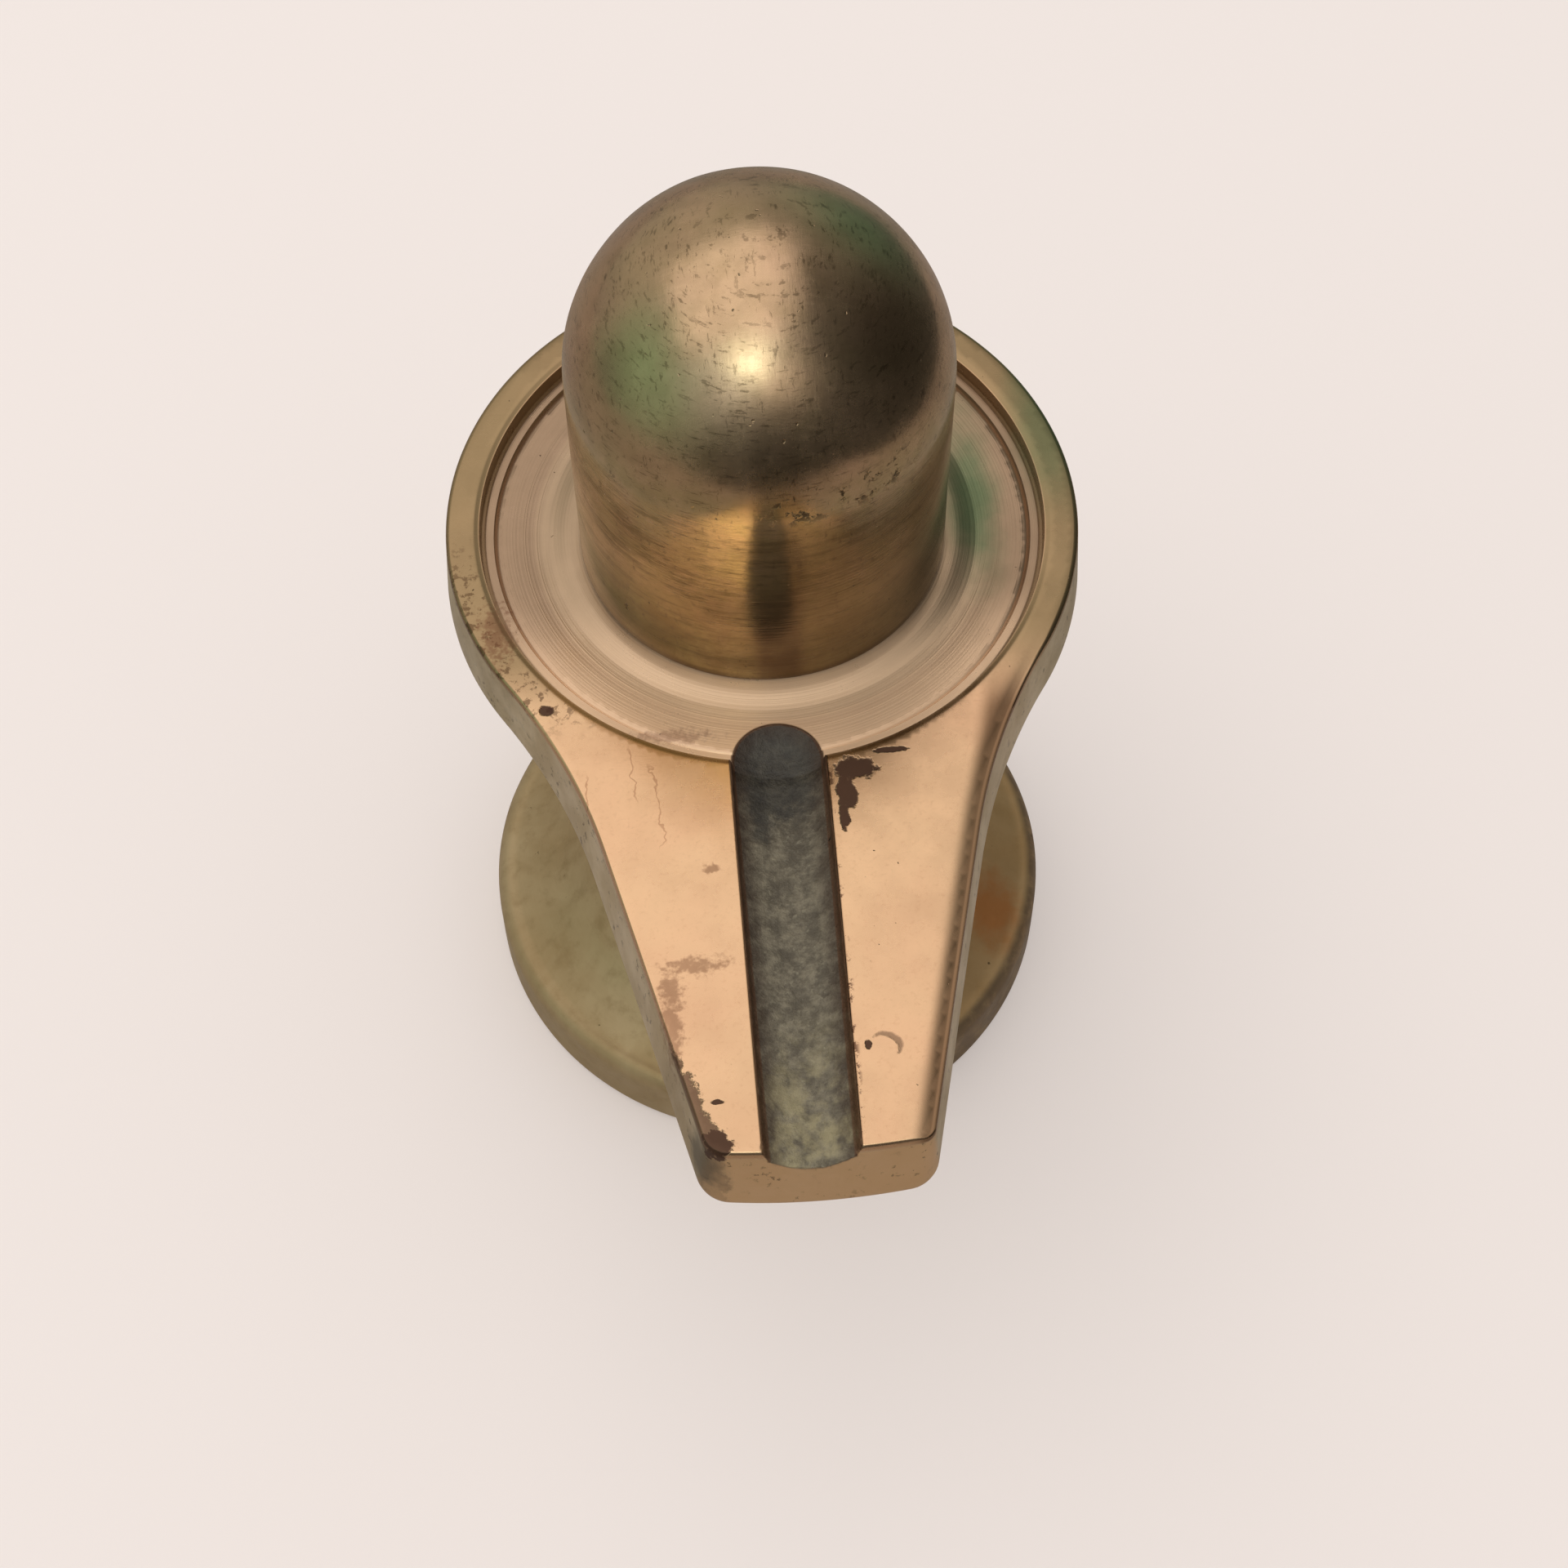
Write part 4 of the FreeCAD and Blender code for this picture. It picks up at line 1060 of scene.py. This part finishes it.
def make_pedestal():
    """The hollow pedestal: foot, waist, seat and web."""
    foot_radius = pedestal_high[0]
    seat = pedestal_high[2]
    waist, waist_low, waist_high = 10.8 * MM, 22.6 * MM, 27.5 * MM
    foot_sweep, seat_sweep, wall = 18.0 * MM, 34.1 * MM, 3.0 * MM
    shoulder, edge, chamfer = 1.4 * MM, 4.9 * MM, 0.5 * MM
    seat_radius, seat_edge = 17.5 * MM, 2.0 * MM
    mouth, web_low, stud_hole = 19.4 * MM, 36.0 * MM, 3.25 * MM
    sweep_centre = waist + foot_sweep
    outer_low = waist_low - math.sqrt(foot_sweep**2 - (sweep_centre - foot_radius + shoulder) ** 2)
    inner_low = waist_low - math.sqrt((foot_sweep + wall) ** 2 - (sweep_centre - mouth) ** 2)
    profile = rounded_path([
        (mouth, 0.0, 0),
        (foot_radius - chamfer, 0.0, 0.2 * MM),
        (foot_radius, chamfer, 0.3 * MM),
        (foot_radius, edge, 0),
    ], step=0.5 * MM)
    profile += arc_path((foot_radius, edge), (foot_radius - shoulder, outer_low), shoulder, 10)[1:]
    profile += arc_path((foot_radius - shoulder, outer_low), (waist, waist_low), -foot_sweep, 48)[1:]
    profile += rounded_path([(waist, waist_low, 0), (waist, waist_high, 0)], step=0.6 * MM)[1:]
    profile += arc_path((waist, waist_high), (seat_radius, seat - seat_edge), -seat_sweep, 44)[1:]
    profile += rounded_path([
        (seat_radius, seat - seat_edge, 0),
        (seat_radius, seat, 0.35 * MM),
        (stud_hole, seat, 0.1 * MM),
        (stud_hole, web_low, 0.2 * MM),
        (waist - wall, web_low, 0.6 * MM),
        (waist - wall, waist_low, 0),
    ], step=0.8 * MM)[1:]
    profile += arc_path((waist - wall, waist_low), (mouth, inner_low), foot_sweep + wall, 36)[1:]
    profile += rounded_path([(mouth, inner_low, 0), (mouth, 0.0, 0)], step=0.6 * MM)[1:-1]

    def warp(points):
        above = smooth_step(0.2 * MM, 2.0 * MM, points[:, 2])
        above = above * smooth_step(seat, seat - 1.5 * MM, points[:, 2])
        return noise_at(points, 8.0 * MM, 7) * 0.05 * MM * above

    return lathe("turned_pedestal", profile, 224, warp=warp)


# ---------------------------------------------------------------- fasteners


def make_stud():
    """The stud with its rolled thread, one ridge that climbs round it."""
    length = stud_high[2] - stud_low[2]
    outer = stud_high[0]
    pitch, depth, point = 1.0 * MM, 0.5 * MM, 0.6 * MM
    rows = 300
    segments = 40
    points = [(0.0, 0.0, stud_low[2])]
    for row in range(rows + 1):
        along = length * row / rows
        for k, angle in enumerate(around(segments)):
            phase = (along / pitch - k / segments) % 1.0
            crest = smooth_step(0.0, 0.4, np.float64(phase)) - smooth_step(0.55, 0.95, np.float64(phase))
            taper = min(along, length - along, point)
            r = outer - depth * (1 - crest) * min(1.0, taper / point) - (point - taper)
            points += ring_points(r, [angle], stud_low[2] + along)
    points.append((0.0, 0.0, stud_high[2]))
    last = len(points) - 1
    faces = []
    for k, n in next_pairs(segments):
        faces.append((0, 1 + n, 1 + k))
        faces.append((last, last - segments + k, last - segments + n))
        for row in range(rows):
            a = 1 + row * segments
            b = a + segments
            faces.append((a + k, a + n, b + n, b + k))
    return finish_mesh("rolled_stud", points, faces, sharp_deg=60)


def make_nut():
    """The hexagon nut with its corners chamfered and a countersunk thread."""
    corner = nut_high[0]
    flat = corner * math.cos(math.pi / 6)
    low, high = nut_low[2], nut_high[2]
    hole, sink = 3.0 * MM, 0.35 * MM
    chamfer = 0.45 * MM
    segments = 144
    angles = around(segments)
    chamfer_heights = [0.0, chamfer * 0.25, chamfer]
    heights = [low + h for h in chamfer_heights]
    heights += list(np.linspace(low, high, 7)[1:-1])
    heights += [high - h for h in reversed(chamfer_heights)]
    points = []
    for z in heights:
        cone = corner - (corner - flat) * 1.25 + min(z - low, high - z) * 1.75
        for angle in angles:
            side = angle % (math.pi / 3) - math.pi / 6
            points += ring_points(min(flat / math.cos(side), cone), [angle], z)
    for r, z in ((hole + sink, high), (hole, high - sink), (hole, low + sink), (hole + sink, low)):
        points += ring_points(r, angles, z)
    count = len(points) // segments
    faces = []
    for row in range(count):
        above = (row + 1) % count * segments
        row *= segments
        faces += [(row + k, row + n, above + n, above + k) for k, n in next_pairs(segments)]
    return finish_mesh("hexagon_nut", points, faces, sharp_deg=30)


# ---------------------------------------------------------------- put the pieces on the frame

pillar_finish = pillar_material()
dish_finish = dish_material()
pedestal_finish = pedestal_material()
zinc_finish = fastener_material()

fitted = [
    (make_pillar(), "lingam", "pillar_brass", pillar_finish),
    (make_dish(), "spouted_dish", "dish_brass", dish_finish),
    (make_pedestal(), "pedestal", "pedestal_brass", pedestal_finish),
    (make_stud(), "tie_stud", "fastener_steel", zinc_finish),
    (make_nut(), "nut", "fastener_steel", zinc_finish),
]
for piece, node_name, slot_name, finish in fitted:
    piece.data.materials.append(finish)
    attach(piece, "root")
    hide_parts(node_name)

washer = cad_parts["washer"]
washer.data.materials.clear()
washer.data.materials.append(zinc_finish)

# ---------------------------------------------------------------- floor, flags, lights and camera


def card(name, size, place, face_to, finish):
    """A flat card of (width, height), turned to face a point."""
    mesh = bpy.data.meshes.new(name)
    w, h = size[0] / 2, size[1] / 2
    mesh.from_pydata([(-w, -h, 0), (w, -h, 0), (w, h, 0), (-w, h, 0)], [], [(0, 1, 2, 3)])
    piece = put_in_scene(name, mesh)
    piece.location = place
    piece.rotation_euler = (Vector(face_to) - Vector(place)).to_track_quat("Z", "Y").to_euler()
    mesh.materials.append(finish)
    return piece


def plain_finish(name, tone):
    """A dull, even finish of one tone."""
    s = Shader(name)
    s.set("Base Color", tone)
    s.set("Roughness", 0.9)
    s.set("Specular IOR Level", 0.1)
    return s.material


def soft_box(name, size, place, aim, radiance, tone):
    """An area lamp of (width, height) metres whose face is as bright as radiance."""
    light = bpy.data.lights.new(name, "AREA")
    light.shape = "RECTANGLE"
    light.size, light.size_y = size
    light.energy = radiance * math.pi * size[0] * size[1]
    light.color = tone
    lamp = put_in_scene(name, light)
    lamp.location = place
    lamp.rotation_euler = (Vector(aim) - Vector(place)).to_track_quat("-Z", "Y").to_euler()
    return lamp


def toward(azimuth, elevation):
    """The direction at an azimuth from -Y (positive toward +X) and an elevation, in degrees."""
    a, e = math.radians(azimuth), math.radians(elevation)
    return (math.sin(a) * math.cos(e), -math.cos(a) * math.cos(e), math.sin(e))


def only_reflected(piece):
    """A studio card that shows in the polished metal and nowhere else."""
    piece.visible_camera = False
    piece.visible_diffuse = False
    piece.visible_shadow = False
    piece.visible_transmission = False
    piece.visible_volume_scatter = False


def studio_surround(lobes, base):
    """A round tent of soft light about the object. Each lobe is (azimuth, elevation, sharpness, strength)."""
    bm = bmesh.new()
    bmesh.ops.create_icosphere(bm, subdivisions=4, radius=1.5)
    bmesh.ops.reverse_faces(bm, faces=bm.faces)
    mesh = bpy.data.meshes.new("studio_surround")
    bm.to_mesh(mesh)
    bm.free()
    tent = put_in_scene("studio_surround", mesh)
    tent.location = (0, 0, 0.08)
    s = Shader("tent_light")
    way = s.vector_math("NORMALIZE", s.place).outputs[0]
    total = s.vector(*base)
    for azimuth, elevation, sharpness, strength in lobes:
        facing = s.vector_math("DOT_PRODUCT", way, toward(azimuth, elevation)).outputs["Value"]
        share = s.math("EXPONENT", s.linear(facing, sharpness, -sharpness))
        lit = s.vector_math("SCALE", strength)
        s.feed(lit.inputs["Scale"], share)
        total = s.vector_math("ADD", total, lit.outputs[0]).outputs[0]
    glow = s.add("ShaderNodeEmission")
    s.feed(glow.inputs["Color"], total)
    s.tree.links.new(glow.outputs[0], s.output.inputs["Surface"])
    mesh.materials.append(s.material)
    only_reflected(tent)
    return tent


def soft_ceiling(name, size, place, strength):
    """A glowing card overhead that fades out toward its edges, so its reflection has none."""
    s = Shader(name + "_light")
    away = [s.math("DIVIDE", s.size(axis), length / 2 / MM) for axis, length in zip((s.x, s.y), size)]
    fade = s.times(*[s.ramp(share, 1.0, 0.5) for share in away])
    clear = s.add("ShaderNodeBsdfTransparent")
    light = s.add("ShaderNodeEmission")
    light.inputs["Color"].default_value = (*strength, 1.0)
    both = s.add("ShaderNodeMixShader")
    s.feed(both.inputs[0], fade)
    s.tree.links.new(clear.outputs[0], both.inputs[1])
    s.tree.links.new(light.outputs[0], both.inputs[2])
    s.tree.links.new(both.outputs[0], s.output.inputs["Surface"])
    piece = card(name, size, place, (place[0], place[1], place[2] + 1), s.material)
    only_reflected(piece)
    return piece


pale = plain_finish("pale_floor", rgb(243, 236, 232))
glow = pale.node_tree.nodes["Principled BSDF"]
glow.inputs["Base Color"].default_value = rgb(222, 214, 210)
glow.inputs["Emission Color"].default_value = rgb(243, 235, 230)
glow.inputs["Emission Strength"].default_value = 0.24
floor = card("floor", (12.0, 12.0), (0, 0, 0), (0, 0, 1), pale)
floor.visible_glossy = False

dim = plain_finish("dim_table", rgb(170, 166, 160))
table = card("reflected_table", (0.49, 0.8), (-0.086, 0.2, -0.0005), (-0.086, 0.2, 1), dim)
only_reflected(table)

studio_surround([
    (-25, 50, 9, (0.62, 0.68, 0.70)),
    (-16, 58, 40, (1.5, 1.8, 1.7)),
    (-15, 57, 90, (1.3, 1.5, 1.25)),
    (-58, 12, 14, (0.03, 0.1, 0.06)),
    (10, 44, 24, (0.5, 0.46, 0.4)),
    (-85, 48, 10, (0.16, 0.16, 0.15)),
    (-68, 2, 8, (0.22, 0.21, 0.18)),
    (-150, 22, 2.5, (0.40, 0.39, 0.34)),
    (-85, 18, 14, (0.06, 0.18, 0.10)),
    (150, 8, 14, (0.0, 0.08, 0.05)),
], (0.05, 0.05, 0.047))

PANEL_PLACE = (-0.19, 0.03, 0.66)
PANEL_AIM = (-0.19, 0.03, 0.0)
overhead = soft_box("overhead_panel", (0.6, 0.66), PANEL_PLACE, PANEL_AIM, 0.95, (1.0, 0.96, 0.92))
overhead.visible_glossy = False
soft_ceiling("overhead_glow", (1.1, 1.12), (-0.22, 0.15, 0.66), (1.03, 0.97, 0.93))

world = bpy.data.worlds.new("studio_air")
world.use_nodes = True
world.node_tree.nodes["Background"].inputs["Color"].default_value = rgb(248, 245, 243)
world.node_tree.nodes["Background"].inputs["Strength"].default_value = 0.78
bpy.context.scene.world = world
bpy.context.scene.view_settings.view_transform = "Standard"

CAMERA_AZIMUTH = math.radians(-4.44)
CAMERA_ELEVATION = math.radians(59.96)
CAMERA_ROLL = math.radians(-0.28)
CAMERA_DISTANCE = 186.34 * MM
CAMERA_AIM = Vector((-0.22 * MM, -21.57 * MM, PLATE_TOP))

back = Vector((
    math.sin(CAMERA_AZIMUTH) * math.cos(CAMERA_ELEVATION),
    -math.cos(CAMERA_AZIMUTH) * math.cos(CAMERA_ELEVATION),
    math.sin(CAMERA_ELEVATION),
))
camera_data = bpy.data.cameras.new("camera")
camera_data.lens = 64.97
camera_data.sensor_width = 36.0
camera_data.clip_start = 0.005
camera = put_in_scene("camera", camera_data)
camera.location = CAMERA_AIM + back * CAMERA_DISTANCE
upright = (-back).to_track_quat("-Z", "Y").to_matrix()
camera.rotation_euler = (upright @ Matrix.Rotation(CAMERA_ROLL, 3, "Z")).to_euler()
bpy.context.scene.camera = camera
